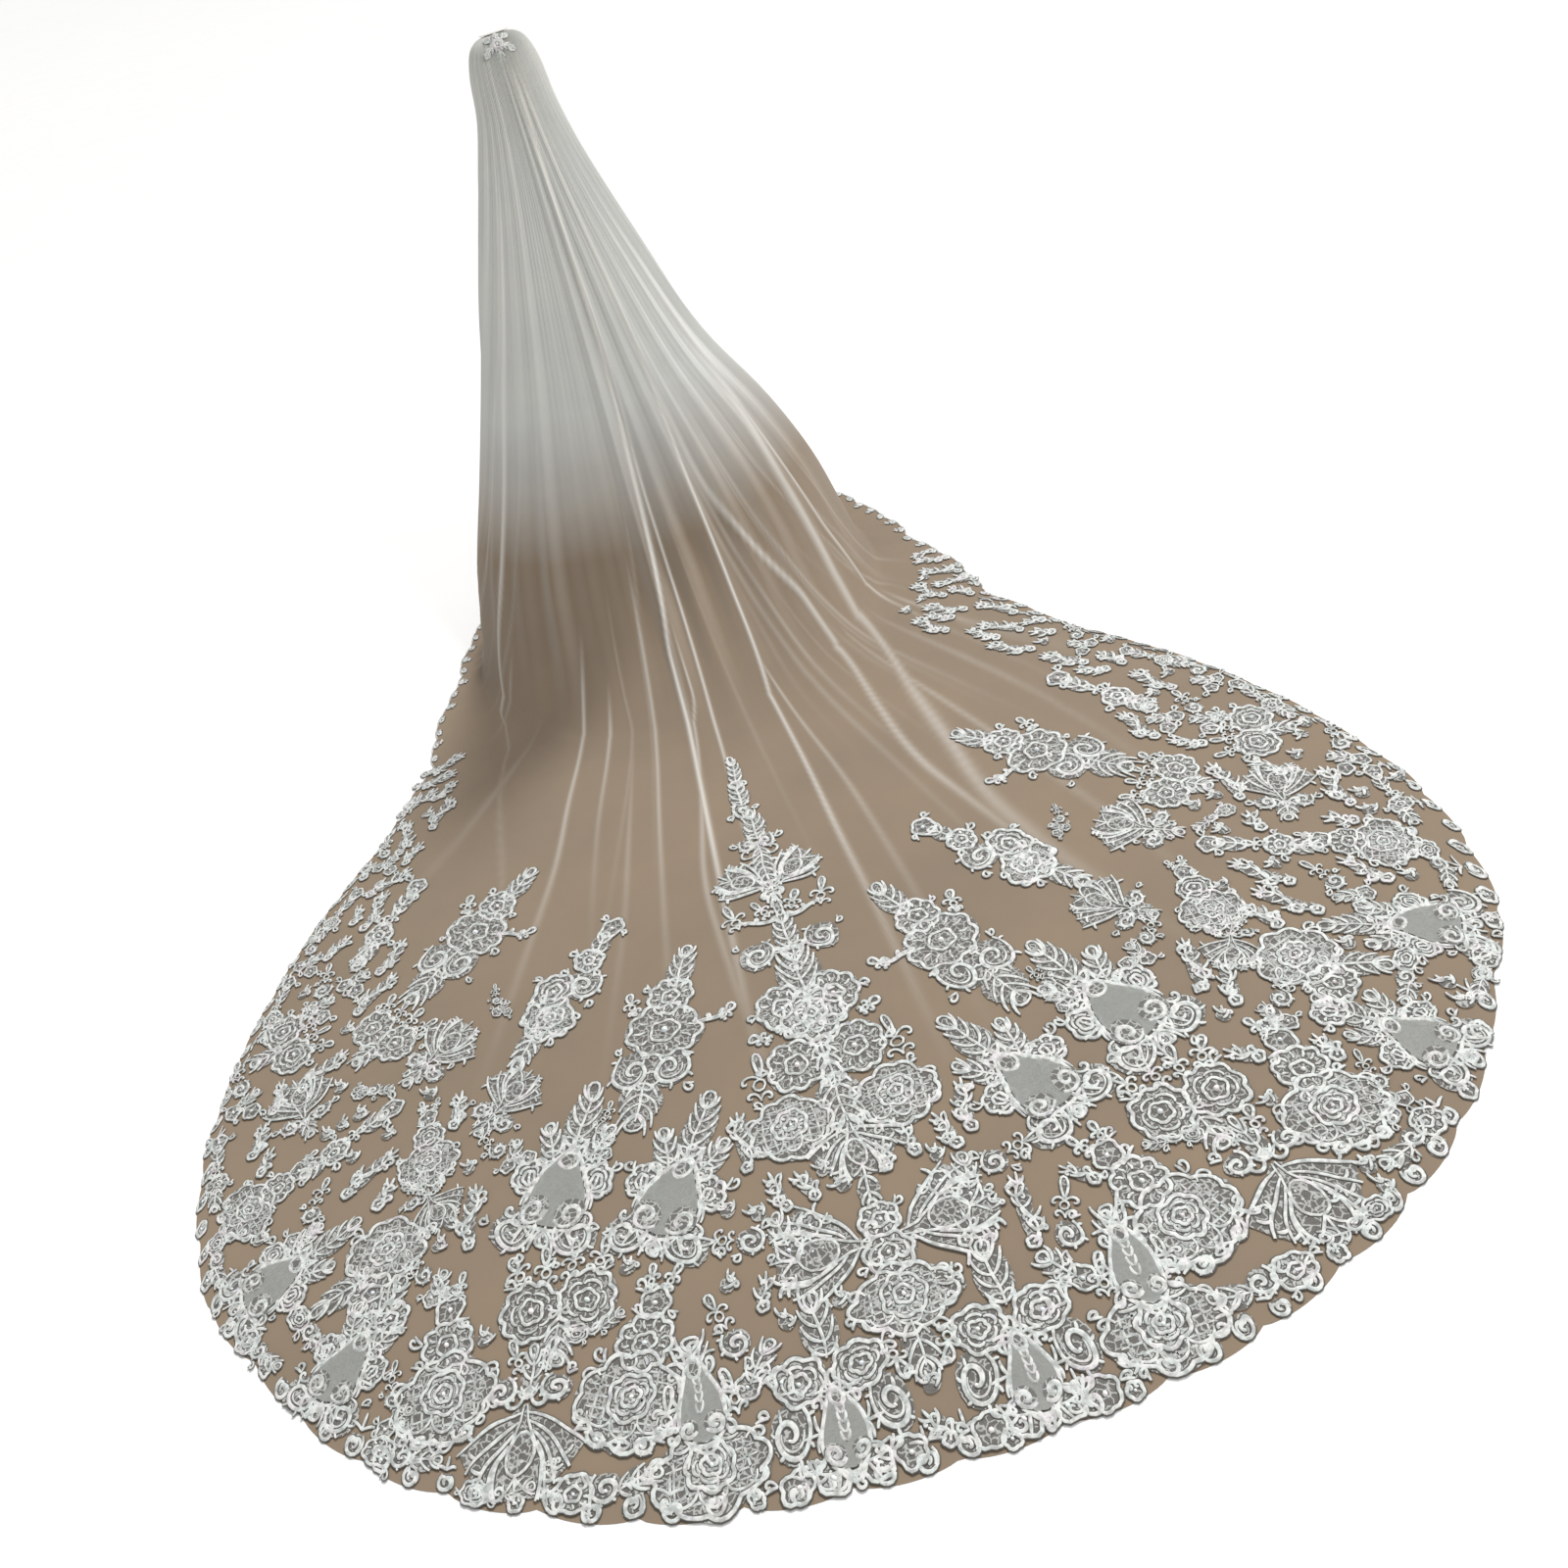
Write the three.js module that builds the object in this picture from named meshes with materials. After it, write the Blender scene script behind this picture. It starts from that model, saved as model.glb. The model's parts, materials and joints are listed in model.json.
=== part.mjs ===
import * as THREE from 'three';

// Cathedral veil, worn: millimetres, +Z up, train towards -Y, face side +Y.
// The origin is the seat on the head, under the comb; the floor is CROWN_HEIGHT below it.
const CROWN_HEIGHT = 1650;
const NET_THICK = 1.5;
const LACE_THICK = 1.2;
const PIECE_GAP = 0.4;
const COLUMNS = 72;
const FOLD_COUNT = 18;
const FOLD_SWAY = 0.35;
const FAN_EVEN = 0.6;
const TRAIN_CENTRE_Y = -520;
const HEM_BAND = 42;
const FLOOR_STEPS = [0.08, 1];
const MIN_FLOOR_STEP = 22;
const LEFT_HEM_SCALE = 0.975;
const RIGHT_HEM_SCALE = 1.01;

// Sections of the hanging net, from the crown down to the floor.
// up: height over the floor. left, right: half widths. centre: y of the widest place.
// back: y of the back. edge: angle of the front edge from the back, degrees.
// front: y of the front edge. fold: depth of the folds.
const SECTIONS = [
  { up: 1651.6, left: 34, right: 34, centre: 0, back: -13, edge: 100, front: 2, fold: 0 },
  { up: 1643, left: 62, right: 62, centre: -4, back: -50, edge: 99, front: 3, fold: 1 },
  { up: 1618, left: 87, right: 87, centre: -9, back: -91, edge: 98, front: 3, fold: 2 },
  { up: 1560, left: 108, right: 105, centre: -15, back: -126, edge: 98, front: 2, fold: 3 },
  { up: 1450, left: 130, right: 116, centre: -28, back: -150, edge: 101, front: 0, fold: 7 },
  { up: 1290, left: 192, right: 152, centre: -50, back: -192, edge: 107, front: -6, fold: 13 },
  { up: 1030, left: 290, right: 228, centre: -104, back: -294, edge: 124, front: -4, fold: 22 },
  { up: 740, left: 395, right: 328, centre: -190, back: -448, edge: 139, front: 0, fold: 28 },
  { up: 480, left: 500, right: 480, centre: -262, back: -600, edge: 146, front: 12, fold: 32 },
  { up: 250, left: 605, right: 590, centre: -335, back: -790, edge: 149, front: 24, fold: 30 },
  { up: 90, left: 665, right: 635, centre: -420, back: -1010, edge: 146, front: 22, fold: 22 },
  { up: 18, left: 690, right: 655, centre: -480, back: -1190, edge: 142, front: 12, fold: 12 },
  { up: 0, left: 700, right: 665, centre: -520, back: -1300, edge: 140, front: 0, fold: 6 },
];

// Outline of the train on the floor, right half, from the front edge round to the back.
const HEM = [
  { x: 500, y: 70 },
  { x: 660, y: -100 },
  { x: 750, y: -330 },
  { x: 810, y: -620 },
  { x: 900, y: -1060 },
  { x: 1040, y: -1350 },
  { x: 1240, y: -1650 },
  { x: 1385, y: -2000 },
  { x: 1440, y: -2300 },
  { x: 1422, y: -2510 },
  { x: 1362, y: -2710 },
  { x: 1234, y: -2870 },
  { x: 1120, y: -3006 },
  { x: 990, y: -3116 },
  { x: 812, y: -3220 },
  { x: 508, y: -3332 },
  { x: 254, y: -3368 },
  { x: 0, y: -3378 },
];

const radians = (degrees) => degrees * Math.PI / 180;
const mix = (a, b, f) => a + (b - a) * f;

// Share of the way round from the back (0) to a front edge (1 or -1).
const fan = (t) => FAN_EVEN * t + (1 - FAN_EVEN) * t ** 3;

function sectionPoint(row, t) {
  const s = SECTIONS[row];
  const turn = radians(s.edge) * fan(t);
  const half = mix(s.left, s.right, 0.5 + 0.5 * Math.sin(turn));
  const frontDepth = (s.front - s.centre) / -Math.cos(radians(s.edge));
  const depth = Math.cos(turn) > 0 ? s.centre - s.back : frontDepth;
  const y = s.centre - depth * Math.cos(turn);
  return new THREE.Vector3(half * Math.sin(turn), y, s.up - CROWN_HEIGHT);
}

const hemAngles = HEM.map((p) => Math.atan2(p.x, TRAIN_CENTRE_Y - p.y));
const hemRadii = HEM.map((p) => Math.hypot(p.x, TRAIN_CENTRE_Y - p.y));

// Radius of the hem about the train's centre at an angle from the back.
function hemRadius(angle) {
  const size = Math.abs(angle);
  const side = angle < 0 ? LEFT_HEM_SCALE : RIGHT_HEM_SCALE;
  let i = 1;
  while (i < hemAngles.length - 1 && hemAngles[i] > size) i += 1;
  const f = (hemAngles[i - 1] - size) / (hemAngles[i - 1] - hemAngles[i]);
  const blend = Math.min(1, Math.max(0, f));
  return mix(1, side, Math.sin(Math.min(size, 1))) * mix(hemRadii[i - 1], hemRadii[i], blend);
}

function hemPoint(t) {
  const angle = hemAngles[0] * fan(t);
  const r = hemRadius(angle);
  return new THREE.Vector3(r * Math.sin(angle), TRAIN_CENTRE_Y - r * Math.cos(angle), -CROWN_HEIGHT);
}

const LAST_SECTION = SECTIONS.length - 1;
const ROWS = LAST_SECTION + FLOOR_STEPS.length + 1;

function smoothPoint(row, t) {
  if (row <= LAST_SECTION) return sectionPoint(row, t);
  const foot = sectionPoint(LAST_SECTION, t);
  const hem = hemPoint(t);
  if (row === ROWS) return hem;
  const run = hem.clone().sub(foot);
  const inner = run.multiplyScalar(1 - HEM_BAND / run.length());
  const step = row - LAST_SECTION;
  const least = Math.min(step / FLOOR_STEPS.length, step * MIN_FLOOR_STEP / inner.length());
  return foot.add(inner.multiplyScalar(Math.max(FLOOR_STEPS[step - 1], least)));
}

// Depth of the soft folds that fan out from the crown, none at the front edges.
function foldDepth(row, t) {
  if (row > LAST_SECTION) return 0;
  const wave = 0.5 - 0.5 * Math.cos(Math.PI * (t + 1) * FOLD_COUNT);
  const sway = 1 - FOLD_SWAY + FOLD_SWAY * Math.sin(9 * t + 1);
  return SECTIONS[row].fold * wave * sway;
}

function vertexNormals(grid) {
  return grid.map((line, row) => line.map((point, col) => {
    const right = line[Math.min(col + 1, COLUMNS)].clone().sub(line[Math.max(col - 1, 0)]);
    const down = grid[Math.min(row + 1, ROWS)][col].clone().sub(grid[Math.max(row - 1, 0)][col]);
    return right.cross(down).normalize().negate();
  }));
}

function makeGrid() {
  const places = [];
  for (let row = 0; row <= ROWS; row += 1) {
    const line = [];
    for (let col = 0; col <= COLUMNS; col += 1) line.push(smoothPoint(row, 2 * col / COLUMNS - 1));
    places.push(line);
  }
  const normals = vertexNormals(places);
  return places.map((line, row) => line.map((point, col) => {
    const depth = foldDepth(row, 2 * col / COLUMNS - 1);
    return point.clone().addScaledVector(normals[row][col], depth);
  }));
}

const net = makeGrid();
const netNormals = vertexNormals(net);

// A closed sheet over chosen cells of the net, between two heights over its inner face.
function sheetOver(cells, low, high) {
  const positions = [];
  const index = [];
  const known = new Map();
  const vertex = (row, col, height) => {
    const key = `${row},${col},${height}`;
    if (!known.has(key)) {
      const p = net[row][col].clone().addScaledVector(netNormals[row][col], height);
      known.set(key, positions.length / 3);
      positions.push(p.x, p.y, p.z);
    }
    return known.get(key);
  };
  const edges = new Map();
  const addEdge = (a, b) => {
    const back = `${b}|${a}`;
    if (edges.has(back)) edges.delete(back);
    else edges.set(`${a}|${b}`, [a, b]);
  };
  for (const [row, col] of cells) {
    const ring = [[row, col], [row + 1, col], [row + 1, col + 1], [row, col + 1]];
    const top = ring.map(([r, c]) => vertex(r, c, high));
    const under = ring.map(([r, c]) => vertex(r, c, low));
    index.push(top[0], top[1], top[2], top[0], top[2], top[3]);
    index.push(under[0], under[2], under[1], under[0], under[3], under[2]);
    ring.forEach((corner, i) => addEdge(corner.join(), ring[(i + 1) % ring.length].join()));
  }
  for (const [a, b] of edges.values()) {
    const [ra, ca] = a.split(',').map(Number);
    const [rb, cb] = b.split(',').map(Number);
    const quad = [vertex(ra, ca, low), vertex(rb, cb, low), vertex(rb, cb, high), vertex(ra, ca, high)];
    index.push(quad[0], quad[1], quad[2], quad[0], quad[2], quad[3]);
  }
  const geometry = new THREE.BufferGeometry();
  geometry.setAttribute('position', new THREE.Float32BufferAttribute(positions, 3));
  geometry.setIndex(index);
  geometry.computeVertexNormals();
  return geometry;
}

const group = new THREE.Group();
group.name = 'cathedral_veil';

function add(name, geometry, material) {
  const mesh = new THREE.Mesh(geometry, material.clone());
  mesh.name = name;
  mesh.material.name = material.name;
  group.add(mesh);
}

const finish = (name, color, roughness, metalness = 0) => new THREE.MeshStandardMaterial(
  { name, color, roughness, metalness },
);
const netMaterial = finish('net', 0xddd6cb, 0.8);
const laceMaterial = finish('lace', 0xf4f1ea, 0.7);
const bandMaterial = finish('band', 0xe9e4da, 0.75);
const combMaterial = finish('comb', 0xc9c7c2, 0.3, 0.9);

const allCells = [];
for (let row = 0; row < ROWS; row += 1) {
  for (let col = 0; col < COLUMNS; col += 1) allCells.push([row, col]);
}
add('tulle_veil', sheetOver(allCells, 0, NET_THICK), netMaterial);

// Narrow lace on the front edges, from elbow height to the floor, then along the hem.
const EDGE_LACE_TOP_ROW = 7;
const EDGE_LACE_HEM_COLUMNS = 24;
const EDGE_GAP = 0.7;
const edgeLow = NET_THICK + EDGE_GAP;
const hemBands = [];
for (const [side, first, step] of [['left', 0, 1], ['right', COLUMNS - 1, -1]]) {
  const cells = [];
  for (let row = EDGE_LACE_TOP_ROW; row < ROWS; row += 1) cells.push([row, first]);
  for (let i = 1; i < EDGE_LACE_HEM_COLUMNS; i += 1) {
    const col = first + i * step;
    cells.push([ROWS - 1, col]);
    const ring = [[ROWS - 1, col], [ROWS, col], [ROWS, col + 1], [ROWS - 1, col + 1]];
    hemBands.push(ring.map(([r, c]) => new THREE.Vector2(net[r][c].x, net[r][c].y)));
  }
  add(`edge_lace_${side}`, sheetOver(cells, edgeLow, edgeLow + LACE_THICK), laceMaterial);
}

// Outlines of single lace elements about their own middle, tip towards +Y.
const SMALL_ROUND = 150;
const SMALL_LEAF = 92;
const PETAL_DIP = 0.74;
const PETAL_SPREAD = 24;
const FAN_FOOT = 0.08;
const ROUND_SWELL = 0.54;
const shapes = {
  round: (wide, high) => {
    const count = wide + high > SMALL_ROUND ? 8 : 6;
    return Array.from({ length: count }, (_, i) => {
      const a = 2 * Math.PI * (i + 0.5) / count;
      return [ROUND_SWELL * wide * Math.cos(a), ROUND_SWELL * high * Math.sin(a)];
    });
  },
  leaf: (wide, high) => {
    if (high < SMALL_LEAF) return shapes.kite(wide, high);
    return [
      [0, high / 2], [-wide / 2, high * 0.08], [-wide * 0.34, -high * 0.34],
      [0, -high / 2], [wide * 0.34, -high * 0.34], [wide / 2, high * 0.08],
    ];
  },
  kite: (wide, high) => [[0, high / 2], [-wide / 2, 0], [0, -high / 2], [wide / 2, 0]],
  stem: (wide, high) => [
    [-wide / 2, high / 2], [-wide / 2, -high / 2], [wide / 2, -high / 2], [wide / 2, high / 2],
  ],
};

// A fan of petals: foot at the middle of its lower side, wide is the spread in degrees.
function fanOutline(spread, reach) {
  const petals = Math.max(3, Math.round(spread / PETAL_SPREAD));
  const points = [[0, -FAN_FOOT * reach]];
  for (let i = 0; i <= 2 * petals; i += 1) {
    const a = radians(90 - spread / 2 + spread * i / (2 * petals));
    const r = reach * (i % 2 ? 1 : PETAL_DIP);
    points.push([r * Math.cos(a), r * Math.sin(a)]);
  }
  return points;
}

// Motifs as elements: kind, x, y, wide, high, turn (degrees, left positive), sides.
// Two sides means the element and its mirror image.
const MOTIFS = {
  cartouche: [
    ['kite', 0, 0, 150, 170, 0, 1],
    ['leaf', 0, 160, 66, 160, 0, 1],
    ['leaf', 48, 92, 52, 110, -24, 2],
    ['flower', 72, 22, 66, 74, 0, 2],
    ['volute', 66, -88, 106, 100, 0, 2],
    ['leaf', 0, -70, 70, 90, 180, 1],
  ],
  bouquet: [
    ['leaf', 0, 205, 64, 130, 0, 1],
    ['flower', 8, 120, 106, 104, 0, 1],
    ['flower', 0, 24, 176, 150, 0, 1],
    ['volute', -34, -78, 112, 120, 0, 1],
    ['volute', 46, -92, 108, 124, 0, 1],
    ['leaf', 10, -170, 96, 120, 180, 1],
    ['stem', -100, 56, 76, 12, -24, 1],
    ['sprig', -140, 74, 40, 56, 30, 1],
    ['sprig', 96, 96, 50, 76, -30, 1],
  ],
  slim: [
    ['flower', 0, 190, 58, 60, 0, 1],
    ['leaf', 4, 140, 46, 70, 0, 1],
    ['flower', 6, 88, 70, 66, 0, 1],
    ['volute', -16, 20, 100, 96, 0, 1],
    ['flower', 44, -14, 96, 104, 0, 1],
    ['lattice', 14, -84, 120, 110, 0, 1],
    ['leaf', 20, -168, 56, 110, 180, 1],
  ],
  wing: [
    ['fan', 0, -70, 120, 180, 0, 1],
    ['volute', 52, -76, 74, 70, 0, 2],
    ['leaf', 0, -110, 60, 90, 180, 1],
  ],
  heart: [
    ['flower', 54, -20, 118, 116, 0, 2],
    ['sprig', 82, 62, 54, 80, -26, 2],
    ['sprig', 26, 62, 50, 84, -8, 2],
    ['leaf', 0, -92, 60, 76, 180, 1],
  ],
  fanfoot: [
    ['sprig', 34, 104, 44, 70, -24, 2],
    ['leaf', 0, 74, 40, 100, 0, 1],
    ['volute', 54, 40, 70, 56, 0, 2],
    ['fan', 0, 20, 132, 176, 180, 1],
  ],
  vase: [
    ['sprig', 20, 146, 30, 54, -16, 2],
    ['flower', 0, 100, 62, 62, 0, 1],
    ['flower', 0, 30, 104, 98, 0, 1],
    ['lattice', 0, -66, 180, 150, 0, 1],
    ['volute', 40, -134, 44, 32, 0, 2],
  ],
  bottle: [
    ['leaf', 0, 120, 66, 90, 0, 1],
    ['kite', 0, 56, 88, 150, 0, 1],
    ['sprig', 54, 56, 34, 84, 10, 2],
    ['lattice', 0, -50, 184, 134, 0, 1],
  ],
  arch: [
    ['leaf', 0, 130, 62, 120, 0, 1],
    ['flower', 52, 50, 92, 80, 0, 2],
    ['volute', 84, -24, 76, 110, 0, 2],
    ['kite', 0, -38, 86, 130, 0, 1],
    ['flower', 92, -100, 62, 54, 0, 2],
    ['flower', 36, -102, 60, 54, 0, 2],
  ],
  spray: [
    ['sprig', 40, 78, 54, 96, -18, 1],
    ['volute', 14, 6, 66, 70, 0, 1],
    ['leaf', -26, -44, 52, 84, 40, 1],
    ['flower', -56, -92, 58, 54, 0, 1],
    ['flower', 8, -80, 60, 54, 0, 1],
  ],
  hemsprig: [
    ['leaf', -74, 6, 48, 84, 74, 1],
    ['volute', -14, 4, 70, 62, 0, 1],
    ['flower', 50, 0, 84, 66, 0, 1],
  ],
  shield: [
    ['lattice', 0, 30, 164, 150, 0, 1],
    ['sprig', -84, 66, 46, 60, 50, 1],
    ['flower', 10, -64, 110, 92, 0, 1],
    ['flower', -50, -118, 72, 66, 0, 1],
    ['leaf', 84, -56, 60, 130, -126, 1],
  ],
  chain: [
    ['flower', 0, 150, 62, 54, 0, 1],
    ['leaf', 0, 96, 46, 84, 0, 1],
    ['sprig', 4, 40, 60, 70, 0, 1],
    ['flower', 0, -18, 72, 70, 0, 1],
    ['leaf', 0, -74, 50, 80, 180, 1],
  ],
  spear: [
    ['leaf', 0, 330, 40, 150, 0, 1],
    ['leaf', -8, 232, 56, 110, 0, 1],
    ['volute', -10, 154, 58, 84, 0, 1],
    ['leaf', 6, 84, 60, 130, 0, 1],
    ['volute', 26, 8, 58, 68, 0, 2],
    ['leaf', 0, -134, 60, 290, 180, 1],
    ['fan', 6, -176, 76, 156, -52, 2],
    ['stem', 64, -282, 110, 12, 10, 2],
    ['sprig', 120, -244, 52, 110, -14, 2],
    ['sprig', 44, -244, 40, 76, -24, 2],
    ['volute', 84, -394, 106, 104, 0, 2],
    ['stem', 0, -394, 90, 24, 0, 1],
    ['leaf', 0, -350, 60, 160, 0, 1],
    ['sprig', 0, -452, 120, 60, 0, 1],
  ],
  bell: [
    ['leaf', 0, 84, 90, 150, 0, 1],
    ['flower', 52, 6, 108, 118, 0, 2],
    ['sprig', 112, -52, 50, 50, -60, 2],
    ['lattice', 0, -30, 120, 120, 0, 1],
  ],
  medallion: [
    ['flower', 66, 130, 128, 130, 0, 2],
    ['leaf', 0, 120, 60, 140, 180, 1],
    ['sprig', 148, 128, 46, 130, 6, 2],
    ['lattice', 112, -12, 160, 140, 0, 2],
    ['leaf', 0, 10, 90, 150, 180, 1],
    ['fan', 0, -44, 150, 132, 180, 1],
    ['leaf', 0, -196, 40, 70, 180, 1],
  ],
  tail: [
    ['flower', 0, 132, 84, 70, 0, 1],
    ['fan', 26, 92, 92, 196, -84, 2],
    ['flower', 0, 62, 96, 84, 0, 1],
    ['lattice', 0, -24, 184, 124, 0, 1],
    ['leaf', 0, -116, 62, 100, 180, 1],
    ['sprig', 46, -126, 44, 72, 160, 2],
  ],
  crown: [
    ['leaf', 0, 30, 22, 44, 0, 1],
    ['leaf', 22, 10, 20, 42, -52, 2],
    ['flower', 0, 0, 34, 30, 0, 1],
    ['leaf', 16, -20, 18, 36, -128, 2],
    ['leaf', 0, -28, 20, 36, 180, 1],
  ],
};

// Where the motifs lie: name, motif, x, y, turn, size. Side ones are mirrored on the left.
const MIDDLE_LACE = [
  ['centre_spear', 'spear', 0, -1852, 0, 0.94],
  ['centre_bell', 'bell', 0, -2400, 0, 1.1],
  ['centre_medallion', 'medallion', 0, -2680, 0, 1],
  ['centre_tail', 'tail', 0, -3070, 0, 0.98],
];
const SIDE_LACE = [
  ['hem_arch', 'arch', 158, -3236, 0, 0.96],
  ['hem_spray', 'spray', 292, -3085, 0, 0.84],
  ['hem_bottle', 'bottle', 386, -3220, 0, 0.96],
  ['inner_vase', 'vase', 476, -3055, 24, 0.96],
  ['hem_sprig', 'hemsprig', 575, -3258, 8, 0.84],
  ['palmette', 'heart', 614, -2886, 6, 0.94],
  ['palmette', 'fanfoot', 690, -3082, 12, 0.88],
  ['outer_vase', 'vase', 836, -2944, 4, 0.92],
  ['outer_hem_sprig', 'hemsprig', 930, -3102, 28, 0.7],
  ['hem_cartouche', 'cartouche', 1052, -2930, 38, 0.74],
  ['side_cartouche', 'cartouche', 1222, -2700, 66, 0.76],
  ['side_shield', 'shield', 968, -2704, 12, 0.86],
  ['middle_bouquet', 'bouquet', 334, -2368, 22, 0.92],
  ['inner_cartouche', 'cartouche', 372, -2762, 30, 0.94],
  ['outer_cartouche', 'cartouche', 596, -2664, 24, 0.98],
  ['star_spray', 'spray', 226, -2896, -52, 0.84],
  ['slim_bouquet', 'slim', 522, -2142, 36, 0.98],
  ['upper_bouquet', 'bouquet', 770, -1856, 44, 0.9],
  ['rosette_cluster', 'heart', 978, -2082, 50, 0.8],
  ['edge_cluster', 'heart', 1226, -2010, 70, 0.8],
  ['edge_cluster', 'spray', 1160, -1880, 30, 0.7],
  ['upper_wing', 'wing', 840, -2190, 52, 0.72],
  ['middle_wing', 'wing', 690, -2392, 46, 0.66],
  ['side_wing', 'wing', 1190, -2216, -18, 0.68],
  ['round_vase', 'vase', 876, -2450, 0, 0.66],
  ['round_vase', 'fanfoot', 872, -2590, -30, 0.5],
  ['side_vase', 'vase', 1240, -2446, 62, 0.7],
  ['edge_chain', 'chain', 1010, -1716, 34, 1],
  ['side_vase', 'chain', 1080, -2380, 62, 0.82],
  ['edge_chain', 'spray', 1068, -1830, 36, 0.7],
];

const ROUND_KINDS = ['flower', 'volute', 'lattice'];
const POINTED_KINDS = ['leaf', 'sprig'];
const LACE_SIZE = 1.08;

function elementOutline(kind, wide, high) {
  if (kind === 'fan') return fanOutline(wide, high);
  if (ROUND_KINDS.includes(kind)) return shapes.round(wide, high);
  if (POINTED_KINDS.includes(kind)) return shapes.leaf(wide, high);
  return shapes[kind](wide, high);
}

const ORIGIN = new THREE.Vector2(0, 0);
const mirrored = (outline) => outline.map((p) => new THREE.Vector2(-p.x, p.y));

function placed(outline, size, turn, x, y) {
  const place = new THREE.Vector2(x, y);
  return outline.map((p) => p.clone().multiplyScalar(size).rotateAround(ORIGIN, radians(turn)).add(place));
}

// The outlines of a motif's elements about its own middle.
function motifElements(motif) {
  return MOTIFS[motif].flatMap(([kind, x, y, wide, high, turn, sides]) => {
    const plain = elementOutline(kind, wide, high).map(([px, py]) => new THREE.Vector2(px, py));
    const outline = placed(plain, 1, turn, x, y);
    return sides === 2 ? [outline, mirrored(outline)] : [outline];
  });
}

// Distances from a middle, along a bearing, to the places where it crosses an outline.
function crossings(outline, middle, bearing) {
  const way = new THREE.Vector2(Math.cos(bearing), Math.sin(bearing));
  const found = [];
  outline.forEach((corner, i) => {
    const a = corner.clone().sub(middle);
    const b = outline[(i + 1) % outline.length].clone().sub(middle);
    const sideA = way.cross(a);
    const sideB = way.cross(b);
    if (sideA * sideB > 0 || sideA === sideB) return;
    const distance = way.dot(a.lerp(b, sideA / (sideA - sideB)));
    if (distance > 0) found.push(distance);
  });
  return found;
}

// A closed outline without the corners that lie within a tolerance of the line past them.
function simplified(outline, tolerance) {
  const count = outline.length;
  const keep = (from, to) => {
    const start = outline[from];
    const line = outline[to % count].clone().sub(start).normalize();
    let farthest = tolerance;
    let split = 0;
    for (let i = from + 1; i < to; i += 1) {
      const off = Math.abs(line.cross(outline[i].clone().sub(start)));
      if (off > farthest) {
        farthest = off;
        split = i;
      }
    }
    return split ? [...keep(from, split), ...keep(split, to)] : [start];
  };
  const half = Math.floor(count / 2);
  return [...keep(0, half), ...keep(half, count)];
}

// An outline with each side moved out by a gap, less at a very sharp corner.
const SHARP_CORNER = 0.4;
function grown(outline, gap) {
  const way = Math.sign(THREE.ShapeUtils.area(outline));
  return outline.map((corner, i) => {
    const first = corner.clone().sub(outline.at(i - 1)).normalize();
    const second = outline[(i + 1) % outline.length].clone().sub(corner).normalize();
    const out = new THREE.Vector2(first.y + second.y, -first.x - second.x);
    const spread = Math.max(1 + first.dot(second), SHARP_CORNER);
    return out.multiplyScalar(way * gap / spread).add(corner);
  });
}

// A plate's outline is the reach of its elements at every bearing from its middle.
const FULL_TURN = 2 * Math.PI;
const BEARING_COUNT = 120;
const BEARINGS = Array.from({ length: BEARING_COUNT }, (_, i) => FULL_TURN * i / BEARING_COUNT);
const BEARING_NUDGE = radians(0.2);
const LEAST_REACH = 14;

function pointAt(middle, bearing, reach) {
  return new THREE.Vector2(reach, 0).rotateAround(ORIGIN, bearing).add(middle);
}

function wholeOutline(elements, middle, tolerance) {
  const reach = (bearing) => Math.max(
    LEAST_REACH, ...elements.flatMap((outline) => crossings(outline, middle, bearing)),
  );
  return simplified(BEARINGS.map((bearing) => pointAt(middle, bearing, reach(bearing))), tolerance);
}

// The outline where it is free of its neighbours, seen from its middle.
function trimmedOutline(whole, middle, neighbours, tolerance) {
  const limit = Math.max(...whole.map((corner) => corner.distanceTo(middle)));
  const corners = [...whole, ...neighbours.flat()].filter((p) => p.distanceTo(middle) < limit);
  const extra = corners.flatMap((corner) => {
    const bearing = (corner.clone().sub(middle).angle() + FULL_TURN) % FULL_TURN;
    return [bearing - BEARING_NUDGE, bearing, bearing + BEARING_NUDGE];
  });
  const inTurn = [...new Set([...BEARINGS, ...extra])].filter((b) => b >= 0 && b < FULL_TURN);
  inTurn.sort((a, b) => a - b);
  const trimmed = inTurn.map((bearing) => {
    const own = Math.max(...crossings(whole, middle, bearing));
    const others = neighbours.flatMap((outline) => crossings(outline, middle, bearing));
    return pointAt(middle, bearing, Math.min(own, ...others));
  });
  return simplified(trimmed, tolerance);
}

// A flat plate of lace with its lower face at a height.
function laceGeometry(outline, base) {
  const shape = new THREE.Shape(outline);
  const plate = new THREE.ExtrudeGeometry(shape, { depth: LACE_THICK, bevelEnabled: false });
  return plate.translate(0, 0, base);
}

const trainLaceBase = NET_THICK + PIECE_GAP - CROWN_HEIGHT;
const laid = [];

// Rows of one name are one appliqué.
function layLace(name, elements, middle) {
  const known = laid.find((piece) => piece.name === name);
  if (known) {
    known.elements.push(...elements);
    known.middle.lerp(middle, 0.5);
  } else {
    laid.push({ name, elements, middle: middle.clone() });
  }
}
for (const [name, motif, x, y, turn, size] of MIDDLE_LACE) {
  const elements = motifElements(motif).map((outline) => placed(outline, size, turn, x, y));
  layLace(name, elements, new THREE.Vector2(x, y));
}
for (const [name, motif, x, y, turn, size] of SIDE_LACE) {
  const fit = size * LACE_SIZE;
  const elements = motifElements(motif).map((outline) => placed(outline, fit, turn, x, y));
  layLace(`${name}_right`, elements, new THREE.Vector2(x, y));
  layLace(`${name}_left`, elements.map(mirrored), new THREE.Vector2(-x, y));
}

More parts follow.
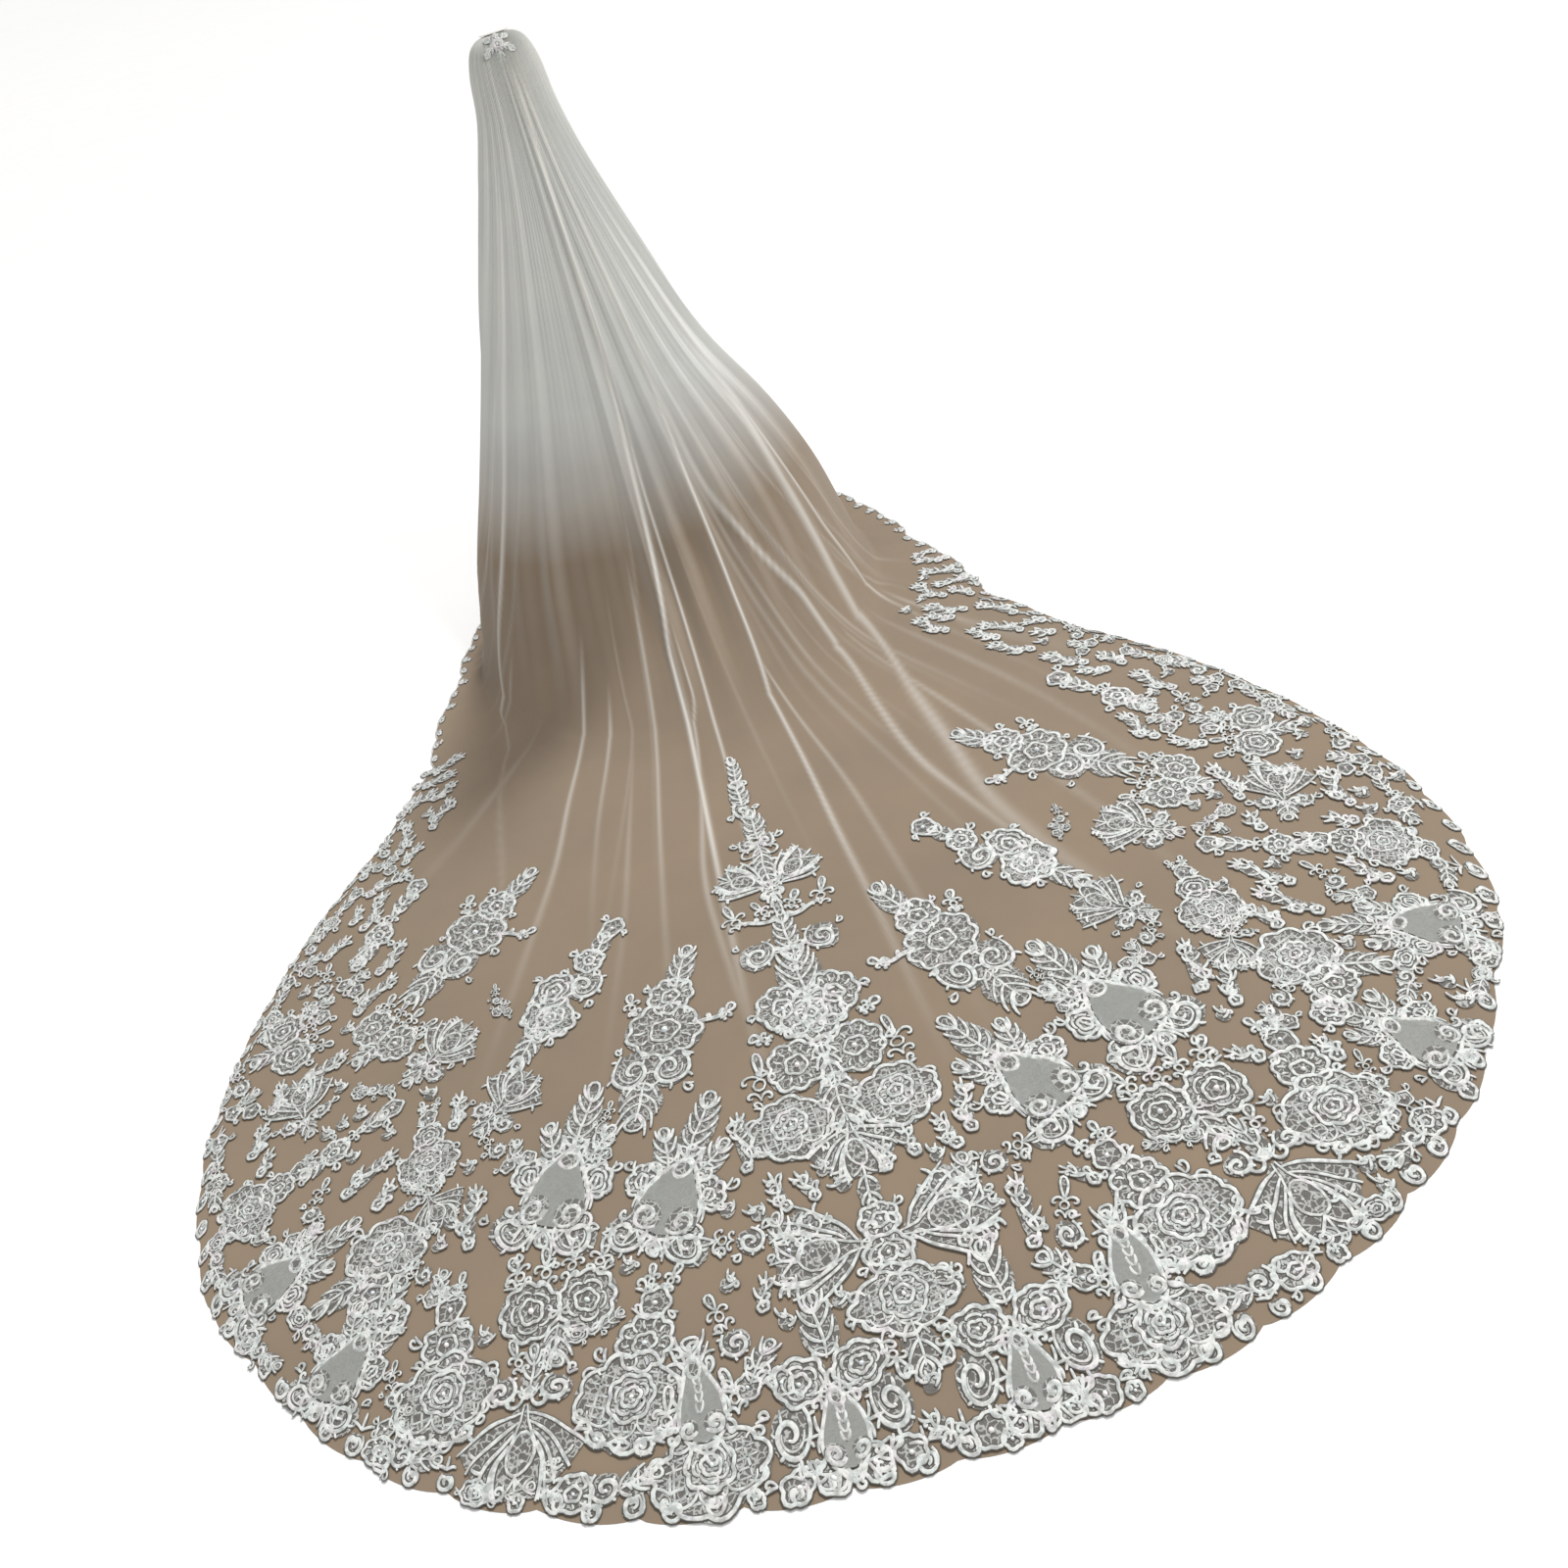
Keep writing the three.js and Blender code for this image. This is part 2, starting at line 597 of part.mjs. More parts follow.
// Neighbours keep a narrow gap: each plate gives way to those laid before it.
const OUTLINE_STEP = 6;
const LACE_GAP = 4;
const TRIM_STEP = 2;
const taken = hemBands.map((band) => grown(band, LACE_GAP));
for (const { name, elements, middle } of laid) {
  const whole = wholeOutline(elements, middle, OUTLINE_STEP);
  const outline = trimmedOutline(whole, middle, taken, TRIM_STEP);
  taken.push(grown(outline, LACE_GAP));
  add(`lace_${name}`, laceGeometry(outline, trainLaceBase), laceMaterial);
}

// Stitched tape over the gathered crown, and the sprig of lace that hides it.
const BAND_HALF_LENGTH = 44;
const BAND_HALF_DEPTH = 19;
const BAND_THICK = 2;
const BAND_POINTS = 24;
const bandBase = SECTIONS[0].up - CROWN_HEIGHT + NET_THICK + PIECE_GAP;
const bandOutline = Array.from({ length: BAND_POINTS }, (_, i) => {
  const a = 2 * Math.PI * i / BAND_POINTS;
  return new THREE.Vector2(BAND_HALF_LENGTH * Math.cos(a), BAND_HALF_DEPTH * Math.sin(a));
});
const band = new THREE.ExtrudeGeometry(new THREE.Shape(bandOutline), {
  depth: BAND_THICK, bevelEnabled: false,
});
band.translate(0, 0, bandBase);
add('crown_band', band, bandMaterial);
const SPRIG_SIZE = 1.15;
const SPRIG_STEP = 1.5;
const sprigElements = motifElements('crown').map((outline) => placed(outline, SPRIG_SIZE, 0, 0, 0));
const sprig = wholeOutline(sprigElements, ORIGIN, SPRIG_STEP);
add('crown_sprig', laceGeometry(sprig, bandBase + BAND_THICK + PIECE_GAP), laceMaterial);

// Plain hair comb under the crown, teeth down the back of the head.
const COMB_LENGTH = 60;
const COMB_SPINE = 9;
const COMB_FRONT = 4;
const COMB_THICK = 2;
const TOOTH_COUNT = 11;
const TOOTH_WIDTH = 2.6;
const TOOTH_LENGTH = 38;
const COMB_TILT = 18;
const comb = new THREE.Shape();
comb.moveTo(-COMB_LENGTH / 2, COMB_FRONT);
const spineBack = COMB_FRONT - COMB_SPINE;
for (let i = 0; i < TOOTH_COUNT; i += 1) {
  const x = -COMB_LENGTH / 2 + (COMB_LENGTH - TOOTH_WIDTH) * i / (TOOTH_COUNT - 1);
  if (i) comb.lineTo(x, spineBack);
  comb.lineTo(x, spineBack - TOOTH_LENGTH);
  comb.lineTo(x + TOOTH_WIDTH, spineBack - TOOTH_LENGTH);
  if (i < TOOTH_COUNT - 1) comb.lineTo(x + TOOTH_WIDTH, spineBack);
}
comb.lineTo(COMB_LENGTH / 2, COMB_FRONT);
comb.closePath();
const combBody = new THREE.ExtrudeGeometry(comb, { depth: COMB_THICK, bevelEnabled: false });
combBody.rotateX(radians(COMB_TILT));
add('hair_comb', combBody, combMaterial);

export default group;
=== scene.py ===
import json
import math
import random

import bpy
import numpy as np
from mathutils import Matrix, Vector
from mathutils.bvhtree import BVHTree

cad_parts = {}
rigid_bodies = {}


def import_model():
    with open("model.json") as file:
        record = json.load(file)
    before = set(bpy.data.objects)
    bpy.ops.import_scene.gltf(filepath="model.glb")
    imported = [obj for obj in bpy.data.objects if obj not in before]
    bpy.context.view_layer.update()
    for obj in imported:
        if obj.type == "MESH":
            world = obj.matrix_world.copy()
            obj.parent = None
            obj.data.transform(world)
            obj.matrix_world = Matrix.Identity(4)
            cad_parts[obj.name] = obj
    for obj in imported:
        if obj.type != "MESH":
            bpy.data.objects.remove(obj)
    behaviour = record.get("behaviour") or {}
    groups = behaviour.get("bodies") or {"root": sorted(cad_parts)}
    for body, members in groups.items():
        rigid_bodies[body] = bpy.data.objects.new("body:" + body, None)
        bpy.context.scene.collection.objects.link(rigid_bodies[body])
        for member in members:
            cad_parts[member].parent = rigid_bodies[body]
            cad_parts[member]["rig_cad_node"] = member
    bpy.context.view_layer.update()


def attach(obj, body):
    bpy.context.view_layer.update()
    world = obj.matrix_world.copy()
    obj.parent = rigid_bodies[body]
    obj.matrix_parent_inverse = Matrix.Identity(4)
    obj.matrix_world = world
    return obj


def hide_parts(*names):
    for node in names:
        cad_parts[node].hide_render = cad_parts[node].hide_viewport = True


# The cathedral veil's looks: sheer net in soft folds, corded lace, sequins and a hidden comb.
# Sizes are in millimetres, as in the solids, and turn to metres where a mesh is made.
MM = 0.001
CROWN_HEIGHT = 1650.0
TRAIN_CENTRE_Y = -520.0
HEAD_AXIS_Y = -60.0
LEFT_HEM_SCALE = 0.975
RIGHT_HEM_SCALE = 1.01
SCALLOP_PITCH = 176.0
SCALLOP_DEPTH = 15.0
NET_LIFT = 0.8
LACE_SIZE = 1.08
SEED = 11

# The net's grid: rows to each section and on the floor, columns and how evenly they are set,
# and the section rows that the floor counts for.
HANG_STEPS = 6
FLOOR_ROWS = 66
COLUMNS = 680
FAN_EVEN = 0.6
FLOOR_WAY = 4.0

# Folds and creases, in millimetres; the foot of the skirt is rounded over a reach in rows.
FOLD_COUNT = 18
FOLD_SWAY = 0.35
GATHER_DEPTH = 2.4
CREASE_DEPTH = 7.0
CREASE_RISE = 4.0
FAINT_CREASES = 48
FOOT_ROUNDS = 150
FOOT_REACH = 20.0

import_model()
random.seed(SEED)

# Sections of the hanging net from the crown to the floor: up over the floor, left and right
# half widths, centre y, back y, edge angle in degrees from the back, front y, fold depth.
SECTIONS = [
    (1651.6, 34, 34, 0, -13, 100, 2, 0),
    (1643, 62, 62, -4, -50, 99, 3, 1),
    (1618, 87, 87, -9, -91, 98, 3, 2),
    (1560, 108, 105, -15, -126, 98, 2, 3),
    (1450, 130, 116, -28, -150, 101, 0, 7),
    (1290, 192, 152, -50, -192, 107, -6, 13),
    (1030, 290, 228, -104, -294, 124, -4, 22),
    (740, 395, 328, -190, -448, 139, 0, 28),
    (480, 500, 480, -262, -600, 146, 12, 32),
    (250, 605, 590, -335, -790, 149, 24, 30),
    (90, 665, 635, -420, -1010, 146, 22, 22),
    (18, 690, 655, -480, -1190, 142, 12, 12),
    (0, 700, 665, -520, -1300, 140, 0, 6),
]

# Outline of the train on the floor, right half, from the front edge round to the back.
HEM = [
    (500, 70), (660, -100), (750, -330), (810, -620), (900, -1060), (1040, -1350),
    (1240, -1650), (1385, -2000), (1440, -2300), (1422, -2510), (1362, -2710),
    (1234, -2870), (1120, -3006), (990, -3116), (812, -3220), (508, -3332),
    (254, -3368), (0, -3378),
]

# Creases that run down the net and over the train: half width in mm, strength, and route as
# section row (12 is the foot of the skirt, 16 the hem) with bearing about the head, degrees
# from the back.
CREASES = [
    (7, 1.0, [
        (2.4, 16), (4, 11.5), (5.9, 4), (7.8, -1.2), (10.2, -4.4), (12.4, -3.8), (14.6, -3.2)]),
    (5, 0.8, [(5, 8), (8, 0.3), (12.3, -0.5), (13.8, -1)]),
    (6, 0.8, [(2.6, 28), (6, 22.5), (8.1, 14.4), (9.7, 11), (12.6, 7.2), (13.1, 6.4), (14.8, 5)]),
    (11, 0.55, [
        (5, 21), (6.6, 19.6), (8.2, 17.7), (9.6, 22.3), (10.2, 23.1), (12, 21.2), (12.5, 17.9),
        (13, 15.8), (14.2, 16.5), (14.8, 17)]),
    (20, 0.5, [
        (5.4, 55), (7.5, 48), (8.5, 41), (9.6, 36), (10.5, 32.5), (12.2, 28.3), (12.5, 23.6),
        (12.8, 21), (13.2, 19), (13.5, 17.2), (14.1, 17), (15, 18)]),
    (7, 0.55, [(7, 50), (9.7, 41), (13.1, 35), (14.2, 30)]),
    (6, 0.45, [(12.2, 38), (14.2, 35.5), (15.6, 37)]),
    (9, 0.6, [
        (4.6, -56), (8.3, -49), (10.5, -44.5), (12.5, -38.5), (12.8, -30), (13.1, -24),
        (13.8, -20)]),
    (6, 0.55, [(9.6, -22), (12.6, -19), (13, -18), (14.6, -18.5)]),
    (6, 0.45, [(10.6, -16), (12.6, -15), (13.8, -13)]),
    (6, 0.45, [(8.6, -9.5), (12.7, -8.4), (14.4, -7.5)]),
    (4, 0.6, [(9.6, -2.6), (11.4, -2.2), (13.2, -4.9), (15, -1.9)]),
    (4, 0.45, [(10.6, 9.4), (12.8, 9.6), (14.8, 7.4)]),
    (4, 0.5, [(11.6, 24.6), (13.2, 22.6), (15.2, 20.4)]),
    (4, 0.4, [(12, 31.5), (13.6, 29), (15, 24.6)]),
    (4, 0.35, [(11.8, -12), (13.4, -11), (14.6, -11.6)]),
    (4, 0.3, [(11.8, -28), (13.4, -30), (14.8, -33)]),
]

# The net as a smooth surface.
table = np.array(SECTIONS, dtype=float)
UP, LEFT, RIGHT, CENTRE, BACK, EDGE, FRONT, FOLD = range(8)
front_depth = (table[:, FRONT] - table[:, CENTRE]) / -np.cos(np.radians(table[:, EDGE]))
table = np.column_stack([table, front_depth])
FRONT_DEPTH = 8
LAST = len(SECTIONS) - 1

hem = np.array(HEM, dtype=float)
hem_angles = np.arctan2(hem[:, 0], TRAIN_CENTRE_Y - hem[:, 1])
hem_radii = np.hypot(hem[:, 0], TRAIN_CENTRE_Y - hem[:, 1])
FULL_TURN = hem_angles[0]


def catmull(values, s):
    """A smooth curve through values, at real-numbered row s."""
    last = len(values) - 1
    i = np.clip(np.floor(s).astype(int), 0, last - 1)
    f = s - i
    a, b, c, d = (values[np.clip(i + k, 0, last)] for k in (-1, 0, 1, 2))
    cubic = 3 * (b - c) + d - a
    return b + f / 2 * (c - a + f * (2 * a - 5 * b + 4 * c - d + f * cubic))


def fan(t):
    return FAN_EVEN * t + (1 - FAN_EVEN) * t ** 3


def hem_radius(angle):
    size = np.abs(angle)
    radius = np.interp(size, hem_angles[::-1], hem_radii[::-1])
    side = np.where(angle < 0, LEFT_HEM_SCALE, RIGHT_HEM_SCALE)
    return radius * (1 + (side - 1) * np.sin(np.minimum(size, 1)))


def hem_scallop(angle):
    """How far the hem dips in between its scallops."""
    bearings = np.linspace(-FULL_TURN, FULL_TURN, 721)
    radii = hem_radius(bearings)
    steps = np.hypot(np.diff(radii), radii[1:] * np.diff(bearings))
    way = np.interp(angle, bearings, np.concatenate([[0], np.cumsum(steps)]))
    return SCALLOP_DEPTH * (1 - np.abs(np.sin(np.pi * way / SCALLOP_PITCH)) ** 0.6)


def hang(s, share):
    """The smooth net where it hangs: section row s, share of the way round."""
    col = [catmull(column, s) for column in table.T]
    turn = np.radians(col[EDGE]) * share
    half = col[LEFT] + (col[RIGHT] - col[LEFT]) * (0.5 + 0.5 * np.sin(turn))
    depth = np.where(np.cos(turn) > 0, col[CENTRE] - col[BACK], col[FRONT_DEPTH])
    x = half * np.sin(turn)
    y = col[CENTRE] - depth * np.cos(turn)
    return np.stack([x, y, col[UP] - CROWN_HEIGHT], axis=-1)


def on_floor(f, share):
    """The smooth net on the floor: f from its foot (0) to the hem (1)."""
    foot = hang(np.full_like(share, float(LAST)), share)
    angle = FULL_TURN * share
    r = hem_radius(angle) - hem_scallop(angle)
    end = np.stack([r * np.sin(angle), TRAIN_CENTRE_Y - r * np.cos(angle), foot[..., 2]], axis=-1)
    return foot + (end - foot) * f[..., None]


def crease_routes():
    """The drawn creases, and faint ones at random round the skirt."""
    rnd = random.Random(SEED)
    routes = list(CREASES)
    for _ in range(FAINT_CREASES):
        bearing = rnd.uniform(-100, 100)
        top = rnd.uniform(3, 10)
        drift = rnd.uniform(-5, 5)
        end = rnd.uniform(12.4, 14.6)
        route = [(top, bearing + drift), (top + 3, bearing), (end, bearing + 0.2 * drift)]
        routes.append((rnd.uniform(4, 9), rnd.uniform(0.05, 0.24), route))
    return routes


def crease_field(row, place):
    """Strength of the creases at places on the net, each with its row."""
    x, y = place[..., 0], HEAD_AXIS_Y - place[..., 1]
    bearing = np.degrees(np.arctan2(x, y))
    reach = np.radians(np.hypot(x, y))
    column_gap = np.linalg.norm(np.gradient(place, axis=1), axis=-1)
    strength = np.zeros_like(row)
    for width, most, route in crease_routes():
        rows, bearings = zip(*route)
        line = sum(np.interp(row + 0.07 * k, rows, bearings) for k in range(-3, 4)) / 7
        ends = np.clip((row - rows[0]) / 1.2, 0, 1)
        ends *= np.clip((rows[-1] - row) / 1.8, 0, 1) ** 1.3
        off = (bearing - line) * reach
        slant = np.abs(np.gradient(line, axis=0)) * reach
        wide = np.maximum(width, np.maximum(1.3 * column_gap, 0.85 * slant))
        faint = most * (width / wide) ** 0.6
        strength = np.maximum(strength, faint * ends * np.exp(-(off / wide) ** 2))
    return strength


def grid_normals(p):
    right = np.gradient(p, axis=1)
    down = np.gradient(p, axis=0)
    n = -np.cross(right, down)
    return n / np.maximum(np.linalg.norm(n, axis=-1, keepdims=True), 1e-9)


def fold_wave(t):
    """Soft folds round the hanging net, some full and some slack."""
    wave = (0.5 - 0.5 * np.cos(np.pi * (t + 1) * FOLD_COUNT)) ** 1.3
    number = np.clip(((t + 1) * FOLD_COUNT / 2).astype(int), 0, FOLD_COUNT - 1)
    return wave * np.random.default_rng(SEED).uniform(0.25, 1.0, FOLD_COUNT)[number]


def rounded_foot(place):
    """Ease the corner where the skirt comes to the floor."""
    off = np.arange(len(place)) - LAST * HANG_STEPS
    soft = place.copy()
    for _ in range(FOOT_ROUNDS):
        soft[1:-1] = 0.25 * soft[:-2] + 0.5 * soft[1:-1] + 0.25 * soft[2:]
    return place + (soft - place) * np.exp(-(off / FOOT_REACH) ** 2)[:, None, None]


def build_net():
    """The net's grid of places, and how strongly it is creased at each, which also sets a painted
    highlight on creases and fold flanks.
    """
    t = np.linspace(-1, 1, COLUMNS + 1)
    rows_s = np.linspace(0, LAST, LAST * HANG_STEPS + 1)
    rows_f = np.linspace(0, 1, FLOOR_ROWS + 1)[1:] ** 1.25
    s, share = np.meshgrid(rows_s, fan(t), indexing="ij")
    f, low_share = np.meshgrid(rows_f, fan(t), indexing="ij")
    place = rounded_foot(np.concatenate([hang(s, share), on_floor(f, low_share)]))
    normal = grid_normals(place)
    row = np.concatenate([s, LAST + FLOOR_WAY * f])
    tone = crease_field(row, place)
    wave = fold_wave(t)
    sway = 1 - FOLD_SWAY + FOLD_SWAY * np.sin(9 * t + 1)
    edge_calm = np.clip((1 - np.abs(t)) * 14, 0, 1)
    # Fine gathers near the crown die out down the net.
    gathers = np.sin(np.pi * (t + 1) * FOLD_COUNT * 3.7 + 2 * np.sin(5 * t)) * edge_calm
    fade = np.clip(1 - s / 9.0, 0, 1) * np.clip(s / 1.5, 0, 1)
    hung = catmull(table[:, FOLD], s) * wave * sway + GATHER_DEPTH * fade * gathers
    hung += CREASE_DEPTH * tone[:len(s)] * np.interp(s, [0, 4, 10, LAST], [0, 0.6, 1, 0.6])
    run = np.clip(1 - f * 5, 0, 1) ** 2
    laid = table[-1, FOLD] * run * wave + CREASE_RISE * tone[len(s):] + NET_LIFT
    depth = np.concatenate([hung, laid])
    # Painted light and shade: the steeper flanks of the soft folds up the net get the pale
    # painted highlight too.
    lean = np.abs(np.gradient(wave)) * COLUMNS / FOLD_COUNT
    soft = np.interp(s, [0, 2, 5, 8, LAST], [0.4, 0.8, 0.5, 0.25, 0.0])
    tone[:len(s)] = np.maximum(tone[:len(s)], 0.2 * lean * soft)
    places = place + normal * depth[..., None]
    places[..., 2] = np.maximum(places[..., 2], NET_LIFT - CROWN_HEIGHT)
    tone = tone * np.interp(row, [9, 12.4], [1, 0.66])
    return places, tone


net, tone = build_net()
net_normals = grid_normals(net)
ROWS = net.shape[0] - 1
HANG_ROWS = LAST * HANG_STEPS


# Motifs of the corded lace as elements: kind, x, y, wide, high, turn (degrees), sides. Two
# sides means the element and its mirror image; a turn and sides left out are 0 and 1. A fan's
# wide is its spread in degrees.
MOTIFS = {
    "cartouche": [
        ("kite", 0, 0, 150, 170), ("leaf", 0, 160, 66, 160), ("leaf", 48, 92, 52, 110, -24, 2),
        ("flower", 72, 22, 66, 74, 0, 2), ("volute", 66, -88, 106, 100, 0, 2),
        ("leaf", 0, -70, 70, 90, 180, 1),
    ],
    "bouquet": [
        ("leaf", 0, 205, 64, 130), ("flower", 8, 120, 106, 104), ("flower", 0, 24, 176, 150),
        ("volute", -34, -78, 112, 120), ("volute", 46, -92, 108, 124),
        ("leaf", 10, -170, 96, 120, 180, 1), ("stem", -100, 56, 76, 12, -24, 1),
        ("sprig", -140, 74, 40, 56, 30, 1), ("sprig", 96, 96, 50, 76, -30, 1),
    ],
    "slim": [
        ("flower", 0, 190, 58, 60), ("leaf", 4, 140, 46, 70), ("flower", 6, 88, 70, 66),
        ("volute", -16, 20, 100, 96), ("flower", 44, -14, 96, 104),
        ("lattice", 14, -84, 120, 110), ("leaf", 20, -168, 56, 110, 180, 1),
    ],
    "wing": [
        ("fan", 0, -70, 120, 180), ("volute", 52, -76, 74, 70, 0, 2),
        ("leaf", 0, -110, 60, 90, 180, 1),
    ],
    "heart": [
        ("flower", 54, -20, 118, 116, 0, 2), ("sprig", 82, 62, 54, 80, -26, 2),
        ("sprig", 26, 62, 50, 84, -8, 2), ("leaf", 0, -92, 60, 76, 180, 1),
    ],
    "fanfoot": [
        ("sprig", 34, 104, 44, 70, -24, 2), ("leaf", 0, 74, 40, 100),
        ("volute", 54, 40, 70, 56, 0, 2), ("fan", 0, 20, 132, 176, 180, 1),
    ],
    "vase": [
        ("sprig", 20, 146, 30, 54, -16, 2), ("flower", 0, 100, 62, 62),
        ("flower", 0, 30, 104, 98), ("lattice", 0, -66, 180, 150),
        ("volute", 40, -134, 44, 32, 0, 2),
    ],
    "bottle": [
        ("leaf", 0, 120, 66, 90), ("kite", 0, 56, 88, 150), ("sprig", 54, 56, 34, 84, 10, 2),
        ("lattice", 0, -50, 184, 134),
    ],
    "arch": [
        ("leaf", 0, 130, 62, 120), ("flower", 52, 50, 92, 80, 0, 2),
        ("volute", 84, -24, 76, 110, 0, 2), ("kite", 0, -38, 86, 130),
        ("flower", 92, -100, 62, 54, 0, 2), ("flower", 36, -102, 60, 54, 0, 2),
    ],
    "spray": [
        ("sprig", 40, 78, 54, 96, -18, 1), ("volute", 14, 6, 66, 70),
        ("leaf", -26, -44, 52, 84, 40, 1), ("flower", -56, -92, 58, 54),
        ("flower", 8, -80, 60, 54),
    ],
    "hemsprig": [
        ("leaf", -74, 6, 48, 84, 74, 1), ("volute", -14, 4, 70, 62), ("flower", 50, 0, 84, 66),
    ],
    "shield": [
        ("lattice", 0, 30, 164, 150), ("sprig", -84, 66, 46, 60, 50, 1),
        ("flower", 10, -64, 110, 92), ("flower", -50, -118, 72, 66),
        ("leaf", 84, -56, 60, 130, -126, 1),
    ],
    "chain": [
        ("flower", 0, 150, 62, 54), ("leaf", 0, 96, 46, 84), ("sprig", 4, 40, 60, 70),
        ("flower", 0, -18, 72, 70), ("leaf", 0, -74, 50, 80, 180, 1),
    ],
    "spear": [
        ("leaf", 0, 330, 40, 150), ("leaf", -8, 232, 56, 110), ("volute", -10, 154, 58, 84),
        ("leaf", 6, 84, 60, 130), ("volute", 26, 8, 58, 68, 0, 2),
        ("leaf", 0, -134, 60, 290, 180, 1), ("fan", 6, -176, 76, 156, -52, 2),
        ("stem", 64, -282, 110, 12, 10, 2), ("sprig", 120, -244, 52, 110, -14, 2),
        ("sprig", 44, -244, 40, 76, -24, 2), ("volute", 84, -394, 106, 104, 0, 2),
        ("stem", 0, -394, 90, 24), ("leaf", 0, -350, 60, 160), ("sprig", 0, -452, 120, 60),
    ],
    "bell": [
        ("leaf", 0, 84, 90, 150), ("flower", 52, 6, 108, 118, 0, 2),
        ("sprig", 112, -52, 50, 50, -60, 2), ("lattice", 0, -30, 120, 120),
    ],
    "medallion": [
        ("flower", 66, 130, 128, 130, 0, 2), ("leaf", 0, 120, 60, 140, 180, 1),
        ("sprig", 148, 128, 46, 130, 6, 2), ("lattice", 112, -12, 160, 140, 0, 2),
        ("leaf", 0, 10, 90, 150, 180, 1), ("fan", 0, -44, 150, 132, 180, 1),
        ("leaf", 0, -196, 40, 70, 180, 1),
    ],
    "tail": [
        ("flower", 0, 132, 84, 70), ("fan", 26, 92, 92, 196, -84, 2), ("flower", 0, 62, 96, 84),
        ("lattice", 0, -24, 184, 124), ("leaf", 0, -116, 62, 100, 180, 1),
        ("sprig", 46, -126, 44, 72, 160, 2),
    ],
    "crown": [
        ("leaf", 0, 30, 22, 44), ("leaf", 22, 10, 20, 42, -52, 2), ("flower", 0, 0, 34, 30),
        ("leaf", 16, -20, 18, 36, -128, 2), ("leaf", 0, -28, 20, 36, 180, 1),
    ],
}

# Where the motifs lie: node, motif, x, y, turn, size. Side ones are mirrored on the left.
MIDDLE_LACE = [
    ("centre_spear", "spear", 0, -1852, 0, 0.94),
    ("centre_bell", "bell", 0, -2400, 0, 1.1),
    ("centre_medallion", "medallion", 0, -2680, 0, 1),
    ("centre_tail", "tail", 0, -3070, 0, 0.98),
]
SIDE_LACE = [
    ("hem_arch", "arch", 158, -3236, 0, 0.96),
    ("hem_spray", "spray", 292, -3085, 0, 0.84),
    ("hem_bottle", "bottle", 386, -3220, 0, 0.96),
    ("inner_vase", "vase", 476, -3055, 24, 0.96),
    ("hem_sprig", "hemsprig", 575, -3258, 8, 0.84),
    ("palmette", "heart", 614, -2886, 6, 0.94),
    ("palmette", "fanfoot", 690, -3082, 12, 0.88),
    ("outer_vase", "vase", 836, -2944, 4, 0.92),
    ("outer_hem_sprig", "hemsprig", 930, -3102, 28, 0.7),
    ("hem_cartouche", "cartouche", 1052, -2930, 38, 0.74),
    ("side_cartouche", "cartouche", 1222, -2700, 66, 0.76),
    ("side_shield", "shield", 968, -2704, 12, 0.86),
    ("middle_bouquet", "bouquet", 334, -2368, 22, 0.92),
    ("inner_cartouche", "cartouche", 372, -2762, 30, 0.94),
    ("outer_cartouche", "cartouche", 596, -2664, 24, 0.98),
    ("star_spray", "spray", 226, -2896, -52, 0.84),
    ("slim_bouquet", "slim", 522, -2142, 36, 0.98),
    ("upper_bouquet", "bouquet", 770, -1856, 44, 0.9),
    ("rosette_cluster", "heart", 978, -2082, 50, 0.8),
    ("edge_cluster", "heart", 1226, -2010, 70, 0.8),
    ("edge_cluster", "spray", 1160, -1880, 30, 0.7),
    ("upper_wing", "wing", 840, -2190, 52, 0.72),
    ("middle_wing", "wing", 690, -2392, 46, 0.66),
    ("side_wing", "wing", 1190, -2216, -18, 0.68),
    ("round_vase", "vase", 876, -2450, 0, 0.66),
    ("round_vase", "fanfoot", 872, -2590, -30, 0.5),
    ("side_vase", "vase", 1240, -2446, 62, 0.7),
    ("edge_chain", "chain", 1010, -1716, 34, 1),
    ("side_vase", "chain", 1080, -2380, 62, 0.82),
    ("edge_chain", "spray", 1068, -1830, 36, 0.7),
]


# Mesh helpers.
def add_object(name, data):
    obj = bpy.data.objects.new(name, data)
    bpy.context.scene.collection.objects.link(obj)
    return obj


def mesh_object(name, points, faces, materials, kinds=None):
    """A mesh from places in metres; kinds give each face's material, the first by default."""
    mesh = bpy.data.meshes.new(name)
    mesh.from_pydata(points.tolist(), [], faces)
    for material in materials:
        mesh.materials.append(material)
    kinds = np.zeros(len(faces)) if kinds is None else np.array(kinds)
    mesh.polygons.foreach_set("material_index", kinds.astype(np.int32))
    mesh.polygons.foreach_set("use_smooth", np.isin(kinds, (CORD, BEAD)))
    mesh.update()
    return add_object(name, mesh)


def point_values(piece, name, values):
    layer = piece.data.attributes.new(name, "FLOAT", "POINT")
    layer.data.foreach_set("value", values.reshape(-1).astype(np.float32))


def grid_faces(rows, cols):
    i = np.arange(rows)[:, None] * (cols + 1) + np.arange(cols)[None, :]
    quads = np.stack([i, i + cols + 1, i + cols + 2, i + 1], axis=-1)
    return quads.reshape(-1, 4).tolist()


laid_net = net[HANG_ROWS + 1:]
laid_tree = BVHTree.FromPolygons(
    laid_net.reshape(-1, 3).tolist(), grid_faces(len(laid_net) - 1, COLUMNS))


def floor_rise(x, y):
    """Height of the creased net over the floor under places in plan."""
    rise = np.full(len(x), NET_LIFT)
    for i, place in enumerate(zip(x.tolist(), y.tolist())):
        hit = laid_tree.ray_cast((*place, 0.0), (0, 0, -1))[0]
        if hit is not None:
            rise[i] = hit.z + CROWN_HEIGHT
    return rise


